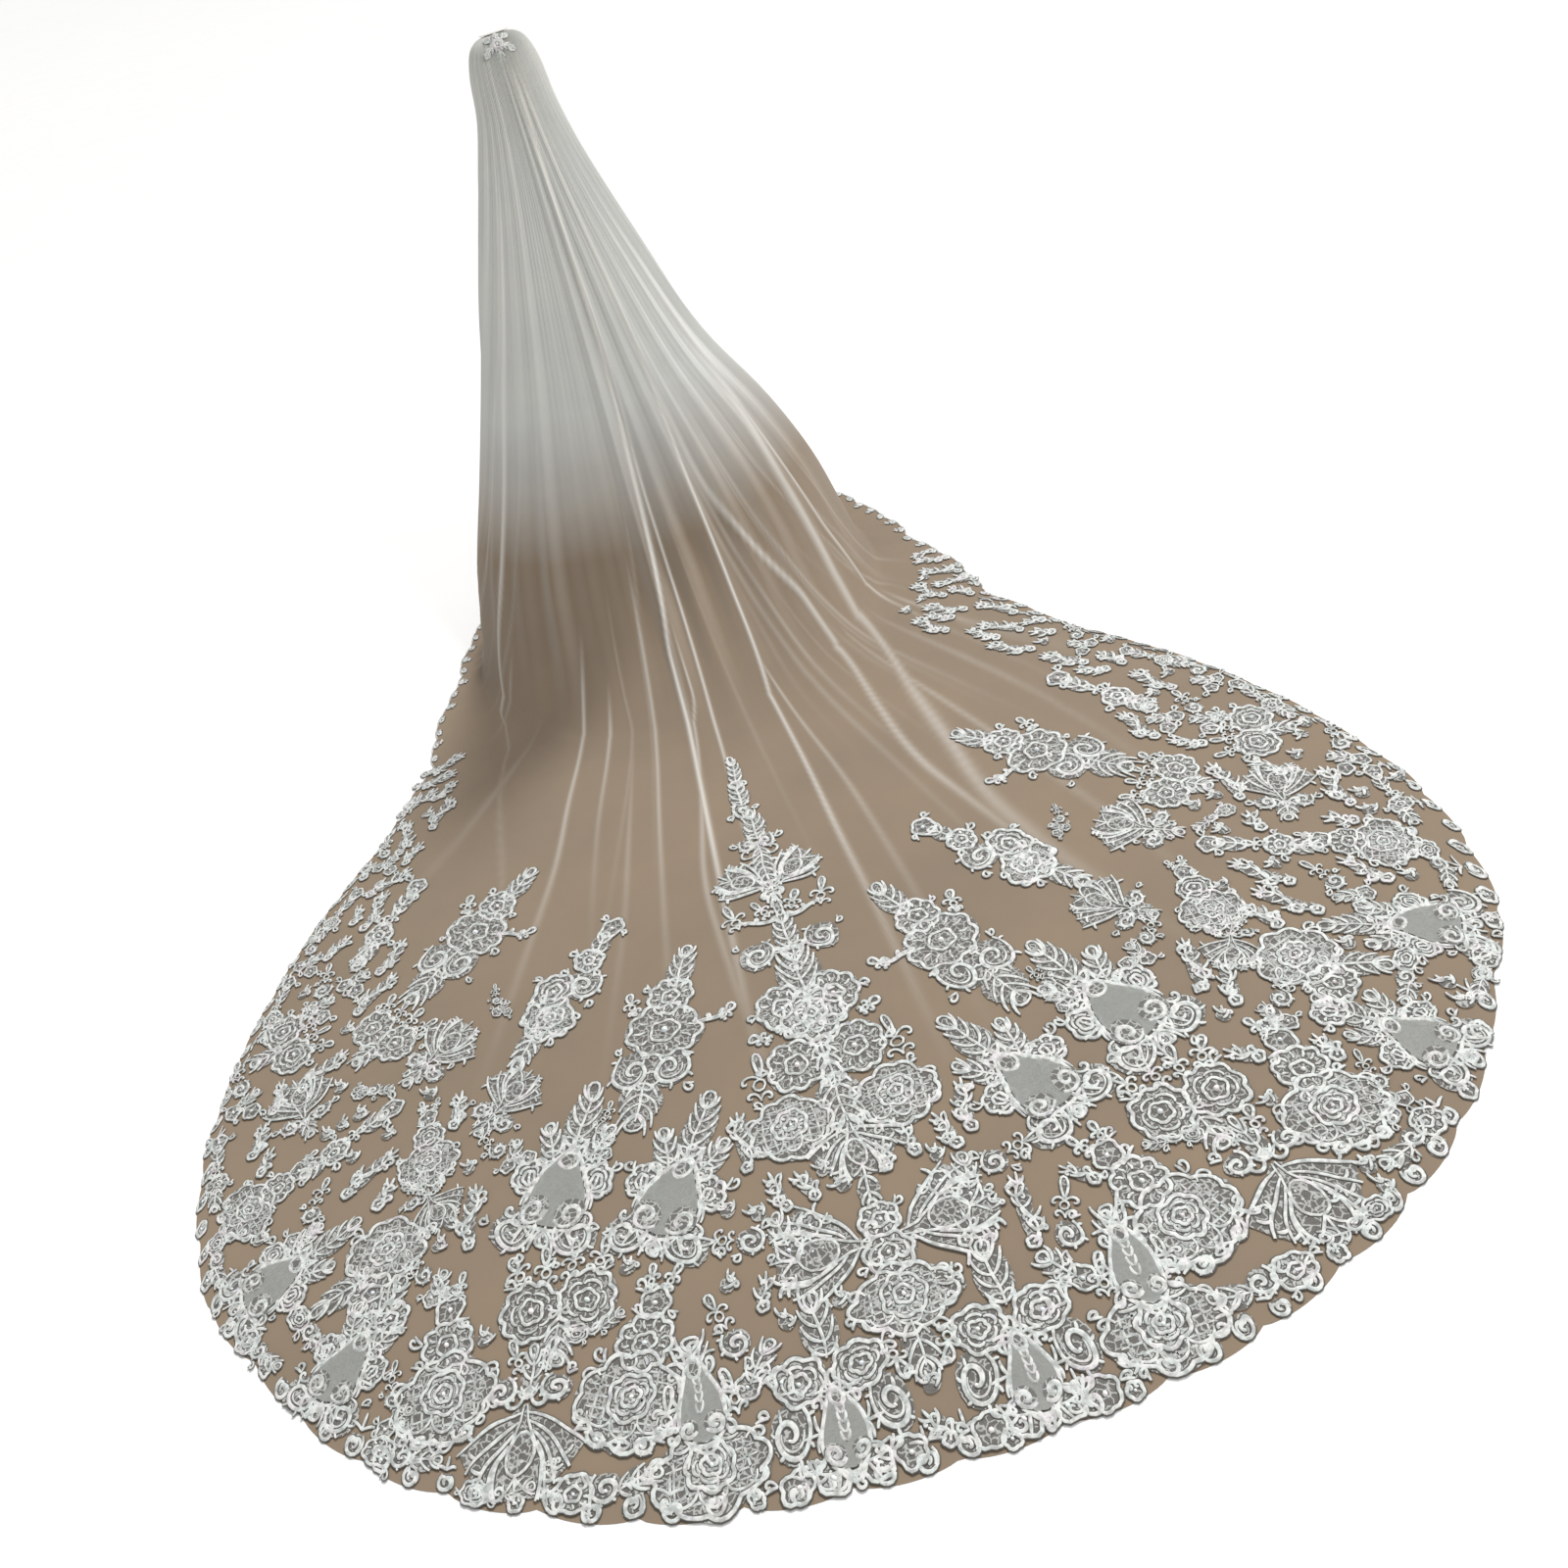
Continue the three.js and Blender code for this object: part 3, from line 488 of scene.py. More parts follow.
# Cords are raised ribbons along a line, and fillings are thin outlines. Both are gathered in
# plan, in millimetres, and laid on the net when a piece is finished.
CORD, FINE, GROUND, PANEL, BEAD = range(5)
BOLD = 13.0
PLAIN = 10.0
THIN = 4.4
RISE = 3.2
FINE_LIFT = 0.7
BEAD_LIFT = 0.6
BEAD_SIDES = 6
LACE_LIFT = 2.4
FILL_OVER = 1.05
TENDRILS = 2


def plan(x, y):
    return np.stack([x, y], axis=1)


def turned(line, degrees, x=0.0, y=0.0):
    a = math.radians(degrees)
    spin = np.array([[math.cos(a), math.sin(a)], [-math.sin(a), math.cos(a)]])
    return line @ spin + [x, y]


class Lace:
    def __init__(self):
        self.points, self.edges, self.faces, self.kinds = [], [], [], []
        self.count = 0

    def add(self, points, faces, kind, edge=None):
        """Keep points and faces; edge is 0 on a cord's ridge and 1 along its borders."""
        self.points.append(points)
        self.edges.append(np.zeros(len(points)) if edge is None else edge)
        for face in faces:
            self.faces.extend((face + self.count).tolist())
            self.kinds.extend([kind] * len(face))
        self.count += len(points)

    def thread(self, line, width=PLAIN, rise=RISE, closed=False):
        """A raised cord along a line, or a flat thread where it has no rise."""
        along = np.gradient(line, axis=0)
        if closed:
            along[0] = along[-1] = line[1] - line[-2]
        length = np.maximum(np.linalg.norm(along, axis=1, keepdims=True), 1e-9)
        side = plan(-along[:, 1], along[:, 0]) / length
        n = len(line)
        size = np.full((n, 1), width / 2)
        if not closed:
            way = np.linspace(0, 1, n)[:, None]
            size = size * (0.45 + 0.55 * np.sqrt(np.sin(np.pi * np.clip(way, 0.03, 0.97))))
        lift = np.zeros((n, 1))
        left = np.hstack([line + side * size, lift])
        right = np.hstack([line - side * size, lift])
        i = np.arange(n - 1)
        strip = np.stack([i, i + n, i + n + 1, i + 1], axis=1)
        if rise:
            ridge = np.hstack([line, lift + rise])
            borders = np.repeat([1.0, 0.0, 1.0], n)
            self.add(np.vstack([left, ridge, right]), [strip, strip + n], CORD, borders)
        else:
            self.add(np.vstack([left, right]) + [0, 0, FINE_LIFT], [strip], FINE)

    def pair(self, line, width=PLAIN, rise=RISE, at=(0, 0)):
        """A thread and its mirror image, moved to a place."""
        for side in (-1, 1):
            self.thread(line * [side, 1] + at, width, rise)

    def tuft(self, length, bend, spread, turn, x, y):
        """Three short strokes that spread from a place."""
        for k in (-1, 0, 1):
            self.thread(turned(comma(length, bend * k), turn - spread * k, x, y))

    def ground(self, outline, level, kind=GROUND):
        """A thin filled outline at a level over the net."""
        n = len(outline) - 1
        i = np.arange(n)
        points = np.vstack([outline[:-1], outline.mean(axis=0)])
        points = np.hstack([points, np.full((n + 1, 1), level)])
        self.add(points, [np.stack([i, (i + 1) % n, np.full(n, n)], axis=1)], kind)

    def bead(self, place, radius):
        n = BEAD_SIDES
        a = np.linspace(0, 2 * np.pi, n, endpoint=False)
        ring = plan(np.cos(a), np.sin(a)) * radius
        low = np.hstack([place + ring, np.full((n, 1), BEAD_LIFT)])
        high = np.hstack([place + ring * 0.7, np.full((n, 1), BEAD_LIFT + radius * 0.8)])
        top = np.array([[*place, BEAD_LIFT + radius * 1.1]])
        i = np.arange(n)
        j = (i + 1) % n
        self.add(np.vstack([low, high, top]), [
            np.stack([i, j, j + n, i + n], axis=1),
            np.stack([i + n, j + n, np.full(n, 2 * n)], axis=1),
        ], BEAD)

    def copy_into(self, other, turn=0, size=1, x=0, y=0, mirror=False):
        """Lay these threads into another piece, turned, scaled and moved."""
        points = np.vstack(self.points)
        faces = [[k + other.count for k in face] for face in self.faces]
        if mirror:
            points[:, 0] *= -1
            turn, x = -turn, -x
            faces = [face[::-1] for face in faces]
        points[:, :2] = turned(points[:, :2], turn) * size + [x, y]
        other.points.append(points)
        other.edges.append(np.concatenate(self.edges))
        other.faces.extend(faces)
        other.kinds.extend(self.kinds)
        other.count += len(points)


# Lines that the lace elements are drawn with, about their own origin.
def loop(wide, high, steps, lobes=0, depth=0.0, start=0.0):
    a = np.linspace(0, 2 * np.pi, steps + 1)
    r = 1 - depth + depth * np.abs(np.sin(lobes * a / 2 + start))
    return plan(wide / 2 * r * np.cos(a), high / 2 * r * np.sin(a))


def shield(wide, high, steps, lobes=0, depth=0.0):
    a = np.linspace(0, 2 * np.pi, steps + 1)
    return loop(wide, high, steps, lobes, depth) * (1 + 0.1 * np.cos(2 * a) ** 2)[:, None]


def pear(wide, high, steps):
    """A clear panel's outline, broad below and drawn in at the top."""
    a = np.linspace(0, 2 * np.pi, steps + 1)
    y = np.sin(a)
    return plan(wide / 2 * np.cos(a) * (0.8 - 0.34 * y), high / 2 * y)


def drop(length, width, steps=12):
    """A closed petal from the origin along +Y."""
    a = np.linspace(0, 2 * np.pi, steps + 1)
    up = (1 - np.cos(a)) / 2
    return plan(np.sin(a) * np.sqrt(up) * 0.5 * width, up * length)


def leaf_edge(wide, high, steps=8):
    way = np.linspace(0, 1, steps + 1)
    x = wide / 2 * np.sin(np.pi * way ** 0.85) ** 0.8
    y = (way - 0.5) * high
    return np.vstack([plan(x, y), plan(-x, y)[-2::-1]])


def curl(radius, turns, steps, left=False, shrink=0.2):
    """A scroll that starts on the rim and winds in to its eye."""
    way = np.linspace(0, 1, steps)
    a = 2 * np.pi * turns * way
    r = radius * (1 - (1 - shrink) * way ** 0.8)
    return plan(r * np.cos(a), r * np.sin(a)) * [-1 if left else 1, 1]


def scroll(length, bend, wind, steps=14):
    """A stem from the origin along +Y that bends by degrees, then winds in to an eye."""
    way = np.linspace(0, 1, steps)
    heading = np.radians(bend * way + wind * way ** 1.8)
    step = length / (steps - 1) * (1.15 - 0.75 * way)
    line = plan(np.cumsum(np.sin(heading) * step), np.cumsum(np.cos(heading) * step))
    return line - line[0]


def comma(length, bend, steps=7):
    """A short curved stroke along +Y."""
    way = np.linspace(0, 1, steps)[:, None]
    return np.hstack([bend * length * way ** 2, length * way * (1 - 0.3 * abs(bend) * way)])


# The elements, each drawn about its own middle.
def draw_rosette(lace, radius, spot, rnd):
    """A small blossom: a thick scalloped ring round a bead."""
    rim = loop(radius * 1.9, radius * 1.9, 20, 5, 0.2, rnd.uniform(0, 1))
    lace.ground(rim * 1.1 + spot, 0.2)
    lace.thread(rim + spot, BOLD * 0.85, closed=True)
    lace.bead(spot, 0.12 * radius + 1.2)


def draw_flower(lace, wide, high, rnd):
    """A rose: a scalloped rim, and a ring of petals or of spokes round its eye."""
    if wide + high < 130:
        draw_rosette(lace, (wide + high) / 4, [0.0, 0.0], rnd)
        return
    half = np.array([wide, high]) / 2
    big = wide + high > 200
    lobes = 9 if big else 7
    start = rnd.uniform(0, 360)
    lace.ground(loop(wide * FILL_OVER, high * FILL_OVER, 20), rnd.uniform(0.1, 0.4))
    lace.thread(loop(wide, high, lobes * 5, lobes, 0.16, start), BOLD, closed=True)
    if rnd.random() < 0.5:
        arc = np.radians(np.linspace(0, 180, 7))
        petal = plan(np.cos(arc) * 0.3, np.sin(arc) * 0.2 + 0.46)
        for i in range(5):
            lace.thread(turned(petal, start + 72 * i) * half)
    else:
        spoke = np.array([[0, 0.52], [0.05, 0.66], [0.02, 0.8]])
        count = 12 if big else 9
        for i in range(count):
            lace.thread(turned(spoke, start + 360 / count * i) * half, PLAIN, RISE * 0.8)
    lace.thread(loop(wide * 0.4, high * 0.4, 20, 5, 0.2, start), PLAIN * 1.1, closed=True)
    lace.bead([0.0, 0.0], 0.05 * min(wide, high))


def draw_volute(lace, wide, high, rnd):
    """A baroque shell: a broad scroll with short strokes along its outside."""
    half = np.array([wide, high]) / 2
    left = rnd.random() < 0.5
    start = (-130 if left else 130) + rnd.uniform(-25, 25)
    lace.ground(loop(wide * 0.84, high * 0.84, 18), rnd.uniform(0.1, 0.4))
    main = turned(curl(0.94, 1.4, 30, left, 0.14), start)
    lace.thread(main * half, BOLD * 1.25, RISE * 1.2)
    if wide + high > 150:
        lace.thread(main[2:15] * 0.68 * half, PLAIN * 0.8, RISE * 0.8)
    for x, y in main[1:18:3]:
        stroke = comma(0.3, 0.4 if left else -0.4)
        tip = turned(stroke, math.degrees(math.atan2(y, x)) - 90, x, y)
        lace.thread(tip * half, PLAIN, RISE * 0.8)
    lace.bead(main[-1] * half, 3.4)


def draw_leaf(lace, wide, high, rnd):
    """An acanthus leaf: curved fingers in pairs along a rib, and one at the tip."""
    pairs = max(2, round(high / 30))
    lace.ground(leaf_edge(wide * 1.1, high), rnd.uniform(0.1, 0.4))
    lace.thread(plan(np.zeros(6), np.linspace(-0.5, 0.34, 6) * high))
    for i in range(pairs):
        way = (i + 0.2) / pairs
        reach = 0.72 * wide * math.sin(math.pi * (0.2 + 0.62 * way)) ** 0.8 + 5
        stroke = turned(comma(reach, -0.5), -74 + 18 * way, 0, (way * 0.86 - 0.5) * high)
        lace.pair(stroke, PLAIN * 1.1)
    lace.thread(drop(high * 0.3, wide * 0.5) + [0, high * 0.22], closed=True)
    if high > 100:
        lace.pair(turned(scroll(high * 0.45, 70, 270), -40, 0, -high * 0.36))


def draw_sprig(lace, wide, high, rnd):
    """A fleuron: a closed petal over a small ring, with hooked scrolls at its sides."""
    petal = drop(high * 0.46, min(wide, 40) * 0.55)
    lace.ground(petal, 0.1)
    lace.thread(petal, closed=True)
    lace.pair(turned(scroll(high * 0.62, 30, 240, 10), -38, 0, -high * 0.06))
    lace.pair(scroll(high * 0.6, 60, 250, 10) + [0, -high * 0.46])
    lace.thread(loop(high * 0.2, high * 0.2, 8) + [0, -high * 0.16], PLAIN * 0.8, closed=True)


def draw_fan(lace, spread, reach, rnd):
    """A palmette: two half leaves of curved fingers round a dotted heart."""
    strokes, tips = [], []
    count = 6 if spread > 110 else 5
    for i in range(count):
        way = i / (count - 1)
        angle = (0.5 * spread + 10) * (1 - way) + 6 * way
        place = np.array([0.03 + 0.24 * way ** 1.2, 0.1 + 0.52 * way]) * reach
        stroke = turned(comma(reach * (0.8 - 0.44 * way), -0.26, 9), -angle) + place
        strokes += [stroke, turned(comma(reach * 0.12, 0.5, 5), -angle - 30) + stroke[6]]
        tips.append(stroke[-1])
    tips = np.array(tips)
    rim = np.vstack([[0, 0], tips * 0.97, tips[::-1] * [-0.97, 0.97], [0, 0]])
    lace.ground(rim, 0.15)
    for stroke in strokes:
        lace.pair(stroke, BOLD * 0.95)
    lace.pair(np.array([[0.02, 0.02], [0.05, 0.2], [0.14, 0.42], [0.27, 0.64]]) * reach)
    lace.pair(scroll(reach * 0.56, 100, 270) + [reach * 0.04, -reach * 0.1], BOLD)
    heart = loop(reach * 0.3, reach * 0.42, 14) + [0, reach * 0.52]
    lace.ground(heart, 1.0)
    lace.thread(heart, closed=True)
    for k in range(6):
        spot = np.array([0.05 * (-1) ** k, 0.4 + 0.05 * k]) * reach
        lace.ground(loop(6.5, 6.5, 5) + spot, 1.8, FINE)
    lace.tuft(reach * 0.26, 0.3, 30, 0, 0, reach * 0.74)


PANEL_LEVEL = 3.4
OVER_PANEL = 3.7


def draw_kite(lace, wide, high, rnd):
    """A clear panel in a border of scrolls and small leaves."""
    lace.ground(pear(wide * 1.15, high * 1.1, 24), 0.1)
    lace.ground(pear(wide * 0.9, high * 0.9, 24), PANEL_LEVEL, PANEL)
    for side in (-1, 1):
        spot = [side * 0.25 * wide, -0.27 * high]
        lace.ground(loop(0.4 * wide, 0.4 * wide, 14) + spot, OVER_PANEL)
    eye = turned(curl(0.19 * wide, 1.3, 20), -150, 0.25 * wide, -0.27 * high)
    lace.pair(eye, BOLD * 1.5, RISE * 2)
    if wide < 100:
        for k in range(4):
            vein = turned(comma(0.2 * wide, -0.5), -52, 0, (0.1 * k - 0.14) * high)
            lace.pair(vein, PLAIN, RISE * 1.8)
    crest = loop(0.26 * wide, 0.2 * high, 12) + [0, 0.36 * high]
    lace.ground(crest, OVER_PANEL)
    lace.thread(crest, PLAIN * 1.5, RISE * 2, closed=True)
    lace.thread(pear(wide, high, 30), BOLD * 1.1, closed=True)
    size = 0.14 * (wide + high) / 2 + 9
    for i, (x, y) in enumerate(pear(wide * 1.02, high * 1.02, 12)[:12]):
        turn = math.degrees(math.atan2(y, x)) - 90
        if i % 2:
            flip = 1 if i % 4 == 1 else -1
            line = scroll(size * 2.5, 70, 280) * [flip, 1]
            lace.thread(turned(line, turn + 40 * flip, x, y), BOLD * 0.9)
        else:
            lace.tuft(size * 1.3, 0.4, 48, turn, x, y)


def draw_lattice(lace, wide, high, rnd):
    """A shield of crossing bars with a rose in it, lobes below and scrolls at its sides."""
    half = np.array([wide, high]) / 2
    lace.ground(shield(wide * 1.02, high * 1.02, 30), rnd.uniform(0.1, 0.4))
    lace.thread(shield(wide, high, 54, 9, 0.12), BOLD, closed=True)
    for k in range(-3, 4):
        across = 0.22 * k
        end = math.sqrt(0.7 - across ** 2)
        bar = np.array([[across, way * end] for way in (-1, -1 / 3, 1 / 3, 1)])
        lace.thread(bar * half, THIN, 0)
        lace.thread(bar[:, ::-1] * half, THIN, 0)
    rose = Lace()
    draw_flower(rose, max(wide * 0.46, 66), max(wide * 0.44, 66), rnd)
    rose.copy_into(lace, y=high * 0.04)
    arc = np.radians(np.linspace(175, 365, 9))
    for k in (-1, 0, 1):
        line = plan(np.cos(arc) * 0.25 + 0.5 * k, np.sin(arc) * 0.3 - 0.5 + 0.14 * abs(k))
        lace.thread(line * half, PLAIN * 0.9, RISE * 0.8)
    lace.pair(turned(scroll(high * 0.6, -70, -270), -130, 0.3 * wide, -0.26 * high), BOLD * 0.9)
    lace.pair(turned(scroll(high * 0.55, 60, 270), -30, 0.36 * wide, 0.2 * high))


def draw_stem(lace, wide, high, rnd):
    """Two waving threads with three buds."""
    way = np.linspace(-0.5, 0.5, 10)
    wave = np.sin(way * 2 * np.pi) * high * 0.3
    lace.thread(plan(way * wide, wave + high * 0.2))
    lace.thread(plan(way * wide, wave - high * 0.3))
    for i in (-1, 0, 1):
        lace.thread(turned(drop(16, 9, 8), -60 * i, i * wide * 0.3), closed=True)


DRAW = {
    "flower": draw_flower, "volute": draw_volute, "leaf": draw_leaf, "sprig": draw_sprig,
    "fan": draw_fan, "kite": draw_kite, "lattice": draw_lattice, "stem": draw_stem,
}


def elements(motif):
    return [(*entry, 0, 1)[:7] for entry in MOTIFS[motif]]


def draw_motif(motif, rnd, grow=1.0):
    """All elements of a motif, with tendrils that grow from the rims of the round ones."""
    whole = Lace()
    for kind, x, y, wide, high, turn, sides in elements(motif):
        one = Lace()
        wide = wide if kind == "fan" else wide * grow
        DRAW[kind](one, wide, high * grow, rnd)
        if kind in ("flower", "volute", "lattice") and grow == 1:
            for i in range(TENDRILS):
                bearing = 360 * i / TENDRILS + rnd.uniform(0, 70)
                a = math.radians(bearing)
                spot = wide * math.cos(a) / 2, high * math.sin(a) / 2
                flip = rnd.choice((-1, 1))
                line = scroll(rnd.uniform(40, 66), 50, 280) * [flip, 1]
                one.thread(turned(line, bearing - 90 + 50 * flip, *spot))
                one.thread(turned(comma(22, 0.3 * flip), bearing - 90 - 20 * flip, *spot))
        one.copy_into(whole, turn, 1, x * grow, y * grow)
        if sides == 2:
            one.copy_into(whole, turn, 1, x * grow, y * grow, mirror=True)
    return whole


def hand_sway(x, y):
    """Small drifts in plan, as of lace that was drawn and sewn by hand."""
    across = 2.2 * np.sin(y / 19 + x / 43) + 1.4 * np.sin(x / 13 - y / 29)
    along = 2.2 * np.sin(x / 17 - y / 47) + 1.4 * np.sin(y / 12 + x / 31)
    return plan(across, along)


def lay_on_net(lace, name, lift, node=None):
    """Turn gathered threads into a piece that lies on the train."""
    points = np.vstack(lace.points)
    points[:, :2] += hand_sway(points[:, 0], points[:, 1])
    points[:, 2] += floor_rise(points[:, 0], points[:, 1]) + lift - CROWN_HEIGHT
    finish_lace(points, lace, name, node)


# The painted shade on the cords' borders is full near the hem and slighter towards the skirt.
CORD_SHADE_PLACES = (-3000.0, -1800.0)
CORD_SHADE_DEPTHS = (1.0, 0.8)


def finish_lace(points, lace, name, node=None):
    piece = mesh_object(name, points * MM, lace.faces, LACE_FINISH, lace.kinds)
    # How deep the painted border shade goes, by place on the train.
    depth = np.interp(points[:, 1], CORD_SHADE_PLACES, CORD_SHADE_DEPTHS)
    point_values(piece, "edge", np.concatenate(lace.edges) * depth)
    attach(piece, "root")
    if node:
        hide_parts(node)


# Materials, all worked out from nodes.
class Finish:
    def __init__(self, name, inputs):
        self.material = bpy.data.materials.new(name)
        self.material.use_nodes = True
        self.tree = self.material.node_tree
        self.shader = self.tree.nodes["Principled BSDF"]
        self.feed(self.shader, inputs)

    def feed(self, node, inputs):
        """Link each input to a socket, or set it to a number or a colour."""
        for name, value in inputs.items():
            if hasattr(value, "links"):
                self.tree.links.new(value, node.inputs[name])
            else:
                value = (*value, 1.0) if isinstance(value, tuple) else value
                node.inputs[name].default_value = value

    def node(self, kind, inputs, **settings):
        node = self.tree.nodes.new(f"ShaderNode{kind}")
        for name, value in settings.items():
            setattr(node, name, value)
        self.feed(node, inputs)
        return node

    def place(self):
        return self.node("TexCoord", {}).outputs["Object"]

    def attribute(self, name):
        return self.node("Attribute", {}, attribute_name=name).outputs["Fac"]

    def noise(self, scale, detail=3.0, output="Fac"):
        node = self.node("TexNoise", {
            "Vector": self.place(), "Scale": scale, "Detail": detail, "Roughness": 0.6})
        return node.outputs[output]

    def ramp(self, source, *stops):
        """Colours, or greys given as one number, along a source."""
        node = self.node("ValToRGB", {"Fac": source})
        band = node.color_ramp
        while len(band.elements) < len(stops):
            band.elements.new(0.5)
        for element, (place, colour) in zip(band.elements, stops):
            element.position = place
            element.color = (*(colour if isinstance(colour, tuple) else (colour,) * 3), 1.0)
        return node.outputs["Color"]

    def mix(self, mode, fac, a, b):
        inputs = {"Factor": fac, "A": a, "B": b}
        return self.node("Mix", inputs, data_type="RGBA", blend_type=mode).outputs["Result"]

    def multiply_add(self, a, b, c, clamp=False):
        inputs = {0: a, 1: b, 2: c}
        node = self.node("Math", inputs, operation="MULTIPLY_ADD", use_clamp=clamp)
        return node.outputs["Value"]

    def cells(self, scale, place):
        """Distance from the borders of small cells."""
        inputs = {"Vector": place, "Scale": scale}
        return self.node("TexVoronoi", inputs, feature="DISTANCE_TO_EDGE").outputs["Distance"]

    def mesh_holes(self, scale):
        """Fine cells of netting: high along the threads, low in the holes."""
        return self.ramp(self.cells(scale, self.place()), (0.0, 1.0), (0.09, 0.85), (0.3, 0.0))

    def bump(self, height, strength, distance):
        inputs = {"Height": height, "Strength": strength, "Distance": distance}
        self.feed(self.shader, {"Normal": self.node("Bump", inputs).outputs["Normal"]})

    def look(self, colour, alpha=1.0):
        self.feed(self.shader, {"Base Color": colour, "Alpha": alpha})
        return self.material


NET_TOP = (0.57, 0.58, 0.555)
NET_MIDDLE = (0.45, 0.43, 0.395)
NET_TRAIN = (0.255, 0.195, 0.138)
# Painted highlight: pale colour along the net's creases and fold flanks, partly for the doubled
# net there and partly standing in for light.
NET_CREASE_HIGHLIGHT = (0.80, 0.78, 0.73)
# At this value the net is opaque all over; at 0 it is sheer, and its train has to be darker.
NET_SOLID = 0.5
# Painted shade: near-black colour along each cord's borders, standing in for the shadows and dark
# gaps round the cords.
PAINTED_CORD_SHADE = (0.085, 0.08, 0.07)
FILLING = (0.165, 0.16, 0.15)
FILLING_THREAD = (0.46, 0.46, 0.44)


def net_material():
    """Soft tulle, cool where it hangs and champagne on the floor; paler on its folds, part denser
    net, part painted highlight.
    """
    finish = Finish("soft_tulle", {
        "Roughness": 0.85, "Specular IOR Level": 0.15,
        "Sheen Weight": 0.2, "Sheen Roughness": 0.5})
    crease_highlight = finish.attribute("crease_highlight")
    down = finish.attribute("drop")
    base = finish.ramp(
        down, (0.0, NET_TOP), (0.52, NET_TOP), (0.62, NET_MIDDLE), (0.72, NET_TRAIN),
        (1.0, NET_TRAIN))
    tint = finish.ramp(
        finish.noise(2.6, 4.0), (0.3, (0.93, 0.93, 0.94)), (0.7, (1.06, 1.05, 1.03)))
    # Painted highlight: the colour turns pale and the net denser along its creases and fold
    # flanks.
    colour = finish.mix("MIX", crease_highlight, finish.mix("MULTIPLY", 1.0, base, tint), NET_CREASE_HIGHLIGHT)
    alpha = finish.ramp(down, (0.0, 0.7), (0.1, 0.56), (0.5, 0.5), (0.72, 0.76), (1.0, 0.85))
    alpha = finish.multiply_add(crease_highlight, 0.34, alpha)
    holes = finish.mesh_holes(520.0)
    fine = finish.multiply_add(holes, 0.08, NET_SOLID)
    finish.bump(holes, 0.15, 0.0003)
    return finish.look(colour, finish.multiply_add(alpha, 1.0, fine, clamp=True))


def thread_material(name, shade, rough, twist):
    """Satin thread with a fine twist, a faint play of colour and painted shade along its borders.
    """
    finish = Finish(name, {"Roughness": rough, "Sheen Weight": 0.1, "Specular IOR Level": 0.35})
    tint = finish.ramp(
        finish.noise(24.0, 2.0), (0.30, (0.95, 0.90, 0.94)), (0.42, (1.0, 1.0, 0.99)),
        (0.55, (0.88, 0.93, 0.92)), (0.66, (1.0, 0.99, 0.98)), (0.78, (0.90, 0.92, 1.0)))
    # Random patches of the cords are up to 40% darker.
    patchy_dimming = finish.ramp(finish.noise(70.0, 2.0), (0.38, 0.6), (0.58, 1.0))
    colour = finish.mix("MULTIPLY", 1.0, finish.mix("MULTIPLY", 1.0, tint, shade), patchy_dimming)
    edge = finish.attribute("edge")
    # Painted shade: the cord darkens to near black towards its borders.
    border = finish.ramp(edge, (0.46, 0.0), (0.6, 1.0))
    alpha = finish.ramp(edge, (0.74, 1.0), (1.0, 0.4))
    finish.bump(finish.noise(twist, 2.0), 0.35, 0.0006)
    return finish.look(finish.mix("MIX", border, colour, PAINTED_CORD_SHADE), alpha)


def filling_material():
    """The filling of a motif: small embroidered cells, pale along their threads."""
    finish = Finish("lace_ground", {"Roughness": 0.75, "Specular IOR Level": 0.2})
    drift = finish.noise(40.0, 2.0, "Color")
    bent = finish.mix("LINEAR_LIGHT", 0.012, finish.place(), drift)
    threads = finish.ramp(
        finish.cells(66.0, bent), (0.0, 1.0), (0.05, 0.85), (0.11, 0.08), (0.5, 0.0))
    alpha = finish.multiply_add(finish.mesh_holes(330.0), 0.3, 0.52)
    alpha = finish.multiply_add(threads, 0.45, alpha, clamp=True)
    finish.bump(threads, 0.5, 0.001)
    return finish.look(finish.mix("MIX", threads, FILLING, FILLING_THREAD), alpha)


def panel_material():
    """The clear panels: close netting, smoother than the tulle under it."""
    finish = Finish("lace_panel", {"Roughness": 0.8, "Specular IOR Level": 0.2})
    tint = finish.ramp(finish.noise(16.0), (0.3, (0.9, 0.91, 0.92)), (0.7, 1.0))
    holes = finish.mesh_holes(420.0)
    finish.bump(holes, 0.3, 0.0004)
    colour = finish.mix("MULTIPLY", 1.0, tint, (0.36, 0.365, 0.34))
    return finish.look(colour, finish.multiply_add(holes, 0.22, 0.62, clamp=True))


def clouded_material(name, inputs, scale, detail, *stops):
    finish = Finish(name, inputs)
    return finish.look(finish.ramp(finish.noise(scale, detail), *stops))


def tape_material():
    """Woven ivory tape."""
    finish = Finish("ivory_tape", {"Roughness": 0.7, "Sheen Weight": 0.2})
    rib = finish.node("TexWave", {
        "Vector": finish.place(), "Scale": 260.0, "Distortion": 0.6})
    finish.bump(rib.outputs["Fac"], 0.5, 0.0004)
    return finish.look(finish.ramp(
        finish.noise(90.0), (0.3, (0.80, 0.77, 0.72)), (0.7, (0.88, 0.86, 0.82))))


def comb_material():
    """Polished wire, lightly brushed."""
    finish = Finish("comb_metal", {"Metallic": 1.0})
    brushed = finish.noise(700.0, 2.0)
    finish.feed(finish.shader, {"Roughness": finish.ramp(brushed, (0.3, 0.18), (0.7, 0.34))})
    finish.bump(brushed, 0.1, 0.0002)
    return finish.look(finish.ramp(
        brushed, (0.3, (0.70, 0.70, 0.69)), (0.7, (0.80, 0.80, 0.79))))


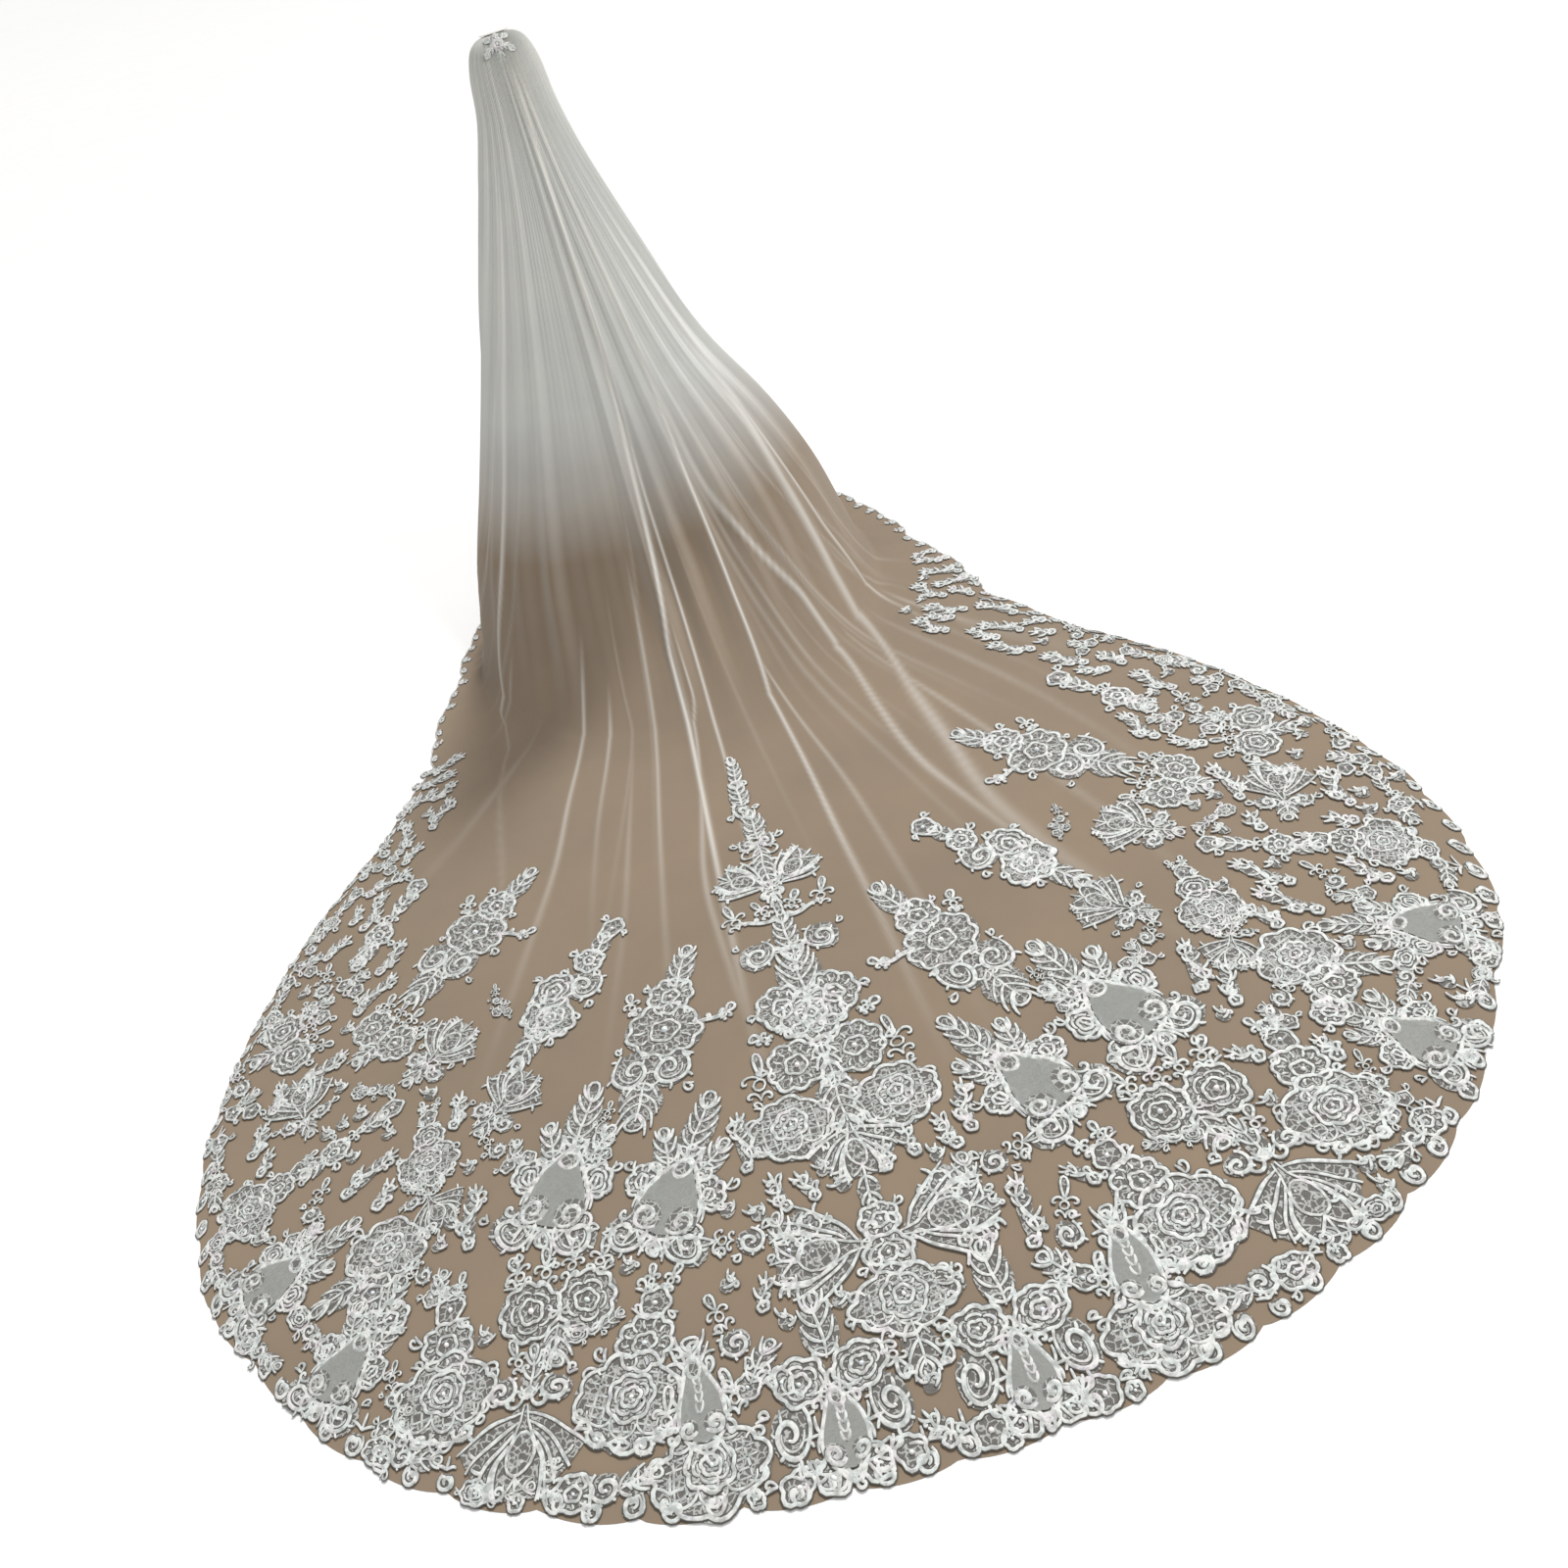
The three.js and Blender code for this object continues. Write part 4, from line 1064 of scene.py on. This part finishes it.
LACE_FINISH = [
    thread_material("lace_cord", (0.745, 0.745, 0.725), 0.5, 900.0),
    thread_material("lace_thread", (0.62, 0.625, 0.61), 0.6, 1400.0),
    filling_material(), panel_material(),
    # Pearls and clear sequins with a faint iridescence.
    clouded_material(
        "pearl_bead", {"Roughness": 0.18, "Coat Weight": 0.6, "Coat Roughness": 0.1},
        60.0, 1.0, (0.32, (0.95, 0.82, 0.88)), (0.46, (0.97, 0.96, 0.93)),
        (0.58, (0.82, 0.94, 0.92)), (0.72, (0.86, 0.88, 1.0))),
]


# The net.
def make_net():
    faces = grid_faces(ROWS, COLUMNS)
    piece = mesh_object("soft_net", net.reshape(-1, 3) * MM, faces, [net_material()])
    down = 0.9 * np.clip(-net[..., 2] / CROWN_HEIGHT, 0, 1)
    down[HANG_ROWS + 1:] = np.linspace(0.9, 1.0, ROWS - HANG_ROWS)[:, None]
    # Painted highlight along the net's creases and fold flanks, kept on each point.
    point_values(piece, "crease_highlight", np.clip(tone, 0, 1))
    point_values(piece, "drop", down)
    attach(piece, "root")
    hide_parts("tulle_veil")
    return piece


veil = make_net()

# Appliqués on the train: one piece for each node.
HEM_OVERHANG = 4.0
placed_elements = []
appliques = {}


def note_elements(motif, x, y, turn, size, mirror):
    """Keep where a motif's elements lie in plan, as discs."""
    flip = -1 if mirror else 1
    for kind, ex, ey, wide, high, _, sides in elements(motif):
        radius = (high if kind == "fan" else min(wide, high)) / 2 * size
        for side in (1, -1)[:sides]:
            middle = turned(np.array([ex * side * flip, ey]), turn * flip)
            placed_elements.append((*(middle * size + [x * flip, y]), radius))


def pull_in(lace):
    """Move threads gathered in plan in from the hem, so that only their tips reach over it."""
    points = lace.points[0]
    x, y = points[:, 0], TRAIN_CENTRE_Y - points[:, 1]
    over = np.max(np.hypot(x, y) - hem_radius(np.arctan2(x, y)))
    middle = np.array([x.mean(), -y.mean()])
    shift = -middle / np.linalg.norm(middle) * max(over - HEM_OVERHANG, 0)
    points[:, :2] += shift
    return shift


def lay_motif(lace, motif, rnd, x, y, turn, size, mirror):
    one = Lace()
    draw_motif(motif, rnd).copy_into(one, turn, size, x, y, mirror)
    shift = pull_in(one)
    one.copy_into(lace)
    flip = -1 if mirror else 1
    note_elements(motif, x + flip * shift[0], y + shift[1], turn, size, mirror)


def lay_applique(name, motif, x, y, turn, size, mirror=False):
    rnd = random.Random(f"{name} {motif}".replace("_left", "_right"))
    lace = appliques.setdefault(name, Lace())
    lay_motif(lace, motif, rnd, x, y, turn, size, mirror)


for name, *where in MIDDLE_LACE:
    lay_applique(f"lace_{name}", *where)
for name, *where, size in SIDE_LACE:
    for side in ("right", "left"):
        lay_applique(f"lace_{name}_{side}", *where, size * LACE_SIZE, side == "left")
for name, lace in appliques.items():
    lay_on_net(lace, name.replace("lace_", "corded_"), LACE_LIFT, name)

# Smaller lace between the appliqués: motif, x, y, turn, size, mirrored on the left.
EXTRA_LACE = [
    ("spray", 1096, -1480, 22, 0.62), ("chain", 1186, -1640, 36, 0.62),
    ("spray", 1296, -1800, 30, 0.62), ("chain", 1372, -1990, 14, 0.66),
    ("spray", 1392, -2180, 8, 0.7), ("chain", 1376, -2370, -6, 0.66),
    ("spray", 1130, -2540, 40, 0.66), ("spray", 712, -2520, -20, 0.6),
    ("hemsprig", 1120, -2790, 60, 0.62), ("hemsprig", 1340, -2560, 84, 0.62),
    ("spray", 870, -2760, -10, 0.6), ("hemsprig", 1250, -2850, 50, 0.6),
    ("spray", 700, -2100, 10, 0.4), ("hemsprig", 1020, -2250, 20, 0.5),
    ("spray", 486, -2560, 40, 0.5), ("hemsprig", 560, -2970, 0, 0.5),
    ("spray", 930, -2990, 20, 0.55), ("hemsprig", 760, -3210, 16, 0.6),
]
for side in ("right", "left"):
    extra = Lace()
    for number, (motif, x, y, turn, size) in enumerate(EXTRA_LACE):
        rnd = random.Random(SEED + number)
        lay_motif(extra, motif, rnd, x, y, turn, size * LACE_SIZE, side == "left")
    lay_on_net(extra, f"small_sprays_{side}", LACE_LIFT + 0.3)


# Narrow sprays fill the free net near the hem: the longest first, then shorter ones. How far
# in from the hem they lie depends on their bearing about the train's centre, in degrees. On
# the left they end sooner.
FILL_DEPTH = [(0, 640), (34, 640), (50, 760), (70, 800), (84, 540), (98, 240), (104, 0)]
FILL_LENGTHS = [(150, 1500), (115, 2000), (84, 2500), (56, 3000), (34, 3000)]
FILL_GAP = 7.0
FILL_DISC = 17.0
FILL_LEFT = ([40, 50, 58], [1, 0.45, 0])
SKIRT_RADIUS = 840.0


def draw_chainlet(lace, length, rnd):
    """A curved stem with leaves on both sides, a rosette at its foot and curls at its top."""
    way = np.linspace(-0.5, 0.5, 12)
    sway = rnd.choice((-1, 1)) * length * 0.09
    line = plan(sway * np.sin(2 * np.pi * way), way * length * 0.8)
    if length > 50:
        lace.thread(line)
    leaves = max(2, round(length / 14))
    for i in range(leaves):
        side = -1 if i % 2 else 1
        at = line[round(11 * (i + 0.5) / leaves)]
        size = 20 + 8 * math.sin(math.pi * (i + 0.5) / leaves)
        lace.thread(turned(comma(size, -0.5), -70) * [side, 1] + at)
        if i % 3 == 1:
            hook = turned(scroll(40, 60, 270, 12), -30) * [-side, 1]
            lace.thread(hook + at, PLAIN * 0.9)
    lace.ground(loop(30, length * 0.8, 12), 0.1)
    if length > 80:
        draw_rosette(lace, 12, line[3], rnd)
    if length > 50:
        draw_rosette(lace, 12, line[0], rnd)
    lace.pair(scroll(min(46, length * 0.6), 50, 280, 12), PLAIN * 0.9, at=line[-3])
    lace.thread(comma(min(24, length * 0.4), 0) + line[-2])


def scatter_fill():
    rnd = random.Random(SEED)
    fill = {"right": Lace(), "left": Lace()}
    taken = list(placed_elements)
    depth_angle, depth = zip(*FILL_DEPTH)
    for length, tries in FILL_LENGTHS:
        discs = max(1, round(length / 30))
        for _ in range(tries):
            bearing = rnd.uniform(-104, 104)
            if -bearing > FILL_LEFT[0][-1]:
                continue
            limit = np.interp(abs(bearing), depth_angle, depth)
            limit *= np.interp(-bearing, *FILL_LEFT)
            inset = 24 + length * 0.3 + rnd.random() * limit
            angle = math.radians(bearing)
            r = float(hem_radius(angle)) - inset
            lean = bearing + rnd.uniform(-38, 38)
            if r < SKIRT_RADIUS:
                continue
            x = r * math.sin(angle)
            y = TRAIN_CENTRE_Y - r * math.cos(angle)
            way = np.zeros(1) if discs == 1 else np.linspace(-0.42, 0.42, discs)
            spots = turned(plan(np.zeros(discs), way * length), lean, x, y)
            others = np.array(taken)
            apart = np.hypot(spots[:, :1] - others[:, 0], spots[:, 1:] - others[:, 1])
            if (apart < others[:, 2] * 0.94 + FILL_DISC + FILL_GAP).any():
                continue
            taken.extend((*spot, FILL_DISC) for spot in spots)
            one = Lace()
            draw_chainlet(one, length, rnd)
            one.copy_into(fill["right" if x > 0 else "left"], lean, 1, x, y)
    return fill


for side, lace in scatter_fill().items():
    lay_on_net(lace, f"scattered_blossoms_{side}", LACE_LIFT + 0.6)


# Scalloped lace sewn along the front edges and the hem.
EDGE_TOP_ROW = 7 * HANG_STEPS
EDGE_UNIT = 70.0
EDGE_INWARD = 6
EDGE_SMOOTH = 15
EDGE_NARROW = 0.2
EDGE_LIFT = 1.6


def edge_frames():
    """Places, inward ways and normals along the free edge, from left front to right front."""
    down = np.arange(EDGE_TOP_ROW, ROWS)
    places = np.vstack([net[down, 0], net[ROWS], net[down[::-1], COLUMNS]])
    inner = np.vstack([
        net[down, EDGE_INWARD], net[ROWS - EDGE_INWARD], net[down[::-1], COLUMNS - EDGE_INWARD]])
    flat = np.tile([0.0, 0.0, 1.0], (COLUMNS + 1, 1))
    normals = np.vstack([net_normals[down, 1], flat, net_normals[down[::-1], COLUMNS - 1]])
    inward = inner - places
    inward /= np.linalg.norm(inward, axis=1, keepdims=True)
    window = np.ones(EDGE_SMOOTH) / EDGE_SMOOTH
    padded = np.pad(inward, ((EDGE_SMOOTH // 2,) * 2, (0, 0)), "edge")
    inward = np.stack([np.convolve(padded[:, k], window, "valid") for k in range(3)], axis=1)
    inward /= np.linalg.norm(inward, axis=1, keepdims=True)
    steps = np.linalg.norm(np.diff(places, axis=0), axis=1)
    return (places, inward, normals), np.concatenate([[0], np.cumsum(steps)])


def draw_edge_unit(lace, start, unit, deep, rnd):
    """One scallop of the edging: u runs along the edge, v into the cloth."""
    if deep < 1:
        arc = np.linspace(0, np.pi, 9)
        u = start + unit / 2 * (1 - np.cos(arc))
        lace.thread(plan(u, 9 * deep * (1 - np.sin(arc)) - 3), THIN, 0)
    else:
        deep *= rnd.uniform(0.8, 1.2)
    middle = start + unit / 2
    flip = rnd.choice((-1, 1))
    choice = rnd.random()
    if choice < 0.3:
        draw_rosette(lace, 15 * deep, [middle, 14 * deep], rnd)
    else:
        size = 17 * deep
        lace.ground(loop(size * 1.8, size * 1.8, 12) + [middle, 15 * deep], 0.1)
        shell = curl(size, 1.35, 20, flip < 0)
        lace.thread(turned(shell, 130 * flip, middle, 15 * deep), BOLD)
    if choice > 0.45:
        lace.tuft(22 * deep, 0.4, 46, 0, middle - flip * 6, 34 * deep)
    for side in (-1, 1):
        tail = turned(scroll(42 * deep, -60, -280, 12), -36) * [side, 1]
        lace.thread(tail + [middle + side * unit * 0.16, 8 * deep])


def make_edging():
    frames, edge_way = edge_frames()
    units = int(edge_way[-1] / EDGE_UNIT)
    unit = edge_way[-1] / units
    rnd = random.Random(SEED)
    halves = {"left": Lace(), "right": Lace()}
    for i in range(units):
        share = (i + 0.5) / units
        side = "left" if share < 0.5 else "right"
        deep = 1.2 if EDGE_NARROW < share < 1 - EDGE_NARROW else 0.6
        draw_edge_unit(halves[side], i * unit, unit, deep, rnd)
    for side, lace in halves.items():
        u, v, h = np.vstack(lace.points).T
        place, inward, normal = (
            np.stack([np.interp(u, edge_way, part[:, k]) for k in range(3)], axis=1)
            for part in frames)
        points = place + inward * v[:, None] + normal * (h + EDGE_LIFT)[:, None]
        finish_lace(points, lace, f"scalloped_edging_{side}", f"edge_lace_{side}")


make_edging()


# The sprig on the crown bends over the back of the head.
CROWN_LIFT = 5.0
CROWN_ROUND = 380.0
SPRIG_SIZE = 1.1
SPRIG_GROW = 1.9
SPRIG_BACK = 84.0
SPRIG_CORD_SHADE = 0.45


def make_crown_sprig():
    lace = Lace()
    one = draw_motif("crown", random.Random(SEED), SPRIG_GROW)
    one.copy_into(lace, 180, SPRIG_SIZE / SPRIG_GROW, 0, -SPRIG_BACK)
    # The crown sprig's cords get a lighter painted shade along their borders.
    lace.edges = [SPRIG_CORD_SHADE * edge for edge in lace.edges]
    x, y, up = np.vstack(lace.points).T
    back_y = np.concatenate([[60, 0], table[:5, BACK]])
    back_z = np.concatenate([[2, 2], table[:5, UP] - CROWN_HEIGHT])
    steps = np.hypot(np.diff(back_y[1:]), np.diff(back_z[1:]))
    way = np.concatenate([[-60, 0], np.cumsum(steps)])
    z = np.interp(-y, way, back_z) + CROWN_LIFT - x ** 2 / CROWN_ROUND + up
    points = np.stack([x, np.interp(-y, way, back_y), z], axis=1)
    finish_lace(points, lace, "beaded_crown_sprig", "crown_sprig")


make_crown_sprig()


# The solids that stay: tape and comb.
def refinish(node, material):
    for item in bpy.context.scene.objects:
        if item.get("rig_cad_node") == node or item.name == node:
            for slot in item.material_slots:
                slot.material = material


refinish("crown_band", tape_material())
refinish("hair_comb", comb_material())

# Floor, light and camera: radius and height of the rings of the floor, in metres.
FLOOR_RINGS = [(0.01, 0), (20, 0), (40, 0.4), (60, 1.6), (90, 6)]
FLOOR_SIDES = 96


def make_floor():
    """A pale studio floor that sweeps up far away."""
    a = np.linspace(0, 2 * np.pi, FLOOR_SIDES + 1)
    rings = [np.stack([r * np.cos(a), r * np.sin(a), np.full_like(a, up)], axis=1)
             for r, up in FLOOR_RINGS]
    rings = np.vstack(rings) - [0, 0, CROWN_HEIGHT * MM]
    faces = [face[::-1] for face in grid_faces(len(FLOOR_RINGS) - 1, FLOOR_SIDES)]
    pale = clouded_material(
        "pale_floor", {"Roughness": 0.9}, 1.2, 3.0,
        (0.3, (0.955, 0.953, 0.948)), (0.7, (0.97, 0.968, 0.963)))
    mesh_object("floor", rings, faces, [pale])


make_floor()
world = bpy.data.worlds.new("studio")
world.use_nodes = True
world.node_tree.nodes["Background"].inputs["Color"].default_value = (1.0, 0.998, 0.993, 1.0)
world.node_tree.nodes["Background"].inputs["Strength"].default_value = 0.52
bpy.context.scene.world = world


def add_light(name, kind, way, energy):
    lamp = bpy.data.lights.new(name, kind)
    lamp.energy = energy
    light = add_object(name, lamp)
    light.rotation_euler = Vector(way).to_track_quat("-Z", "Y").to_euler()
    return light


add_light("key", "SUN", (-0.35, -0.6, -0.72), 2.3).data.angle = math.radians(9.0)
front = add_light("front", "AREA", (-3.4, 2.0, -3.8), 90)
front.location = (3.4, -3.0, 3.0)
front.data.shape = "DISK"
front.data.size = 1.8

CAMERA_PLACE = (0.0, -4.10, 0.35)
CAMERA_PITCH = 39.2
CAMERA_ROLL = 18.0
CAMERA_SHIFT = (0.02675, 0.0087)


def make_camera():
    lens = bpy.data.cameras.new("view")
    lens.lens = 27.0
    lens.sensor_width = 36.0
    lens.shift_x, lens.shift_y = CAMERA_SHIFT
    lens.clip_end = 200.0
    camera = add_object("view", lens)
    pitch = math.radians(CAMERA_PITCH)
    roll = math.radians(CAMERA_ROLL)
    forward = Vector((0, math.cos(pitch), -math.sin(pitch)))
    right = Vector((1, 0, 0))
    up = right.cross(forward)
    image_right = math.cos(roll) * right - math.sin(roll) * up
    image_up = math.sin(roll) * right + math.cos(roll) * up
    turn = Matrix((image_right, image_up, -forward)).transposed()
    camera.matrix_world = Matrix.Translation(CAMERA_PLACE) @ turn.to_4x4()
    bpy.context.scene.camera = camera


make_camera()
bpy.context.scene.view_settings.view_transform = "Standard"
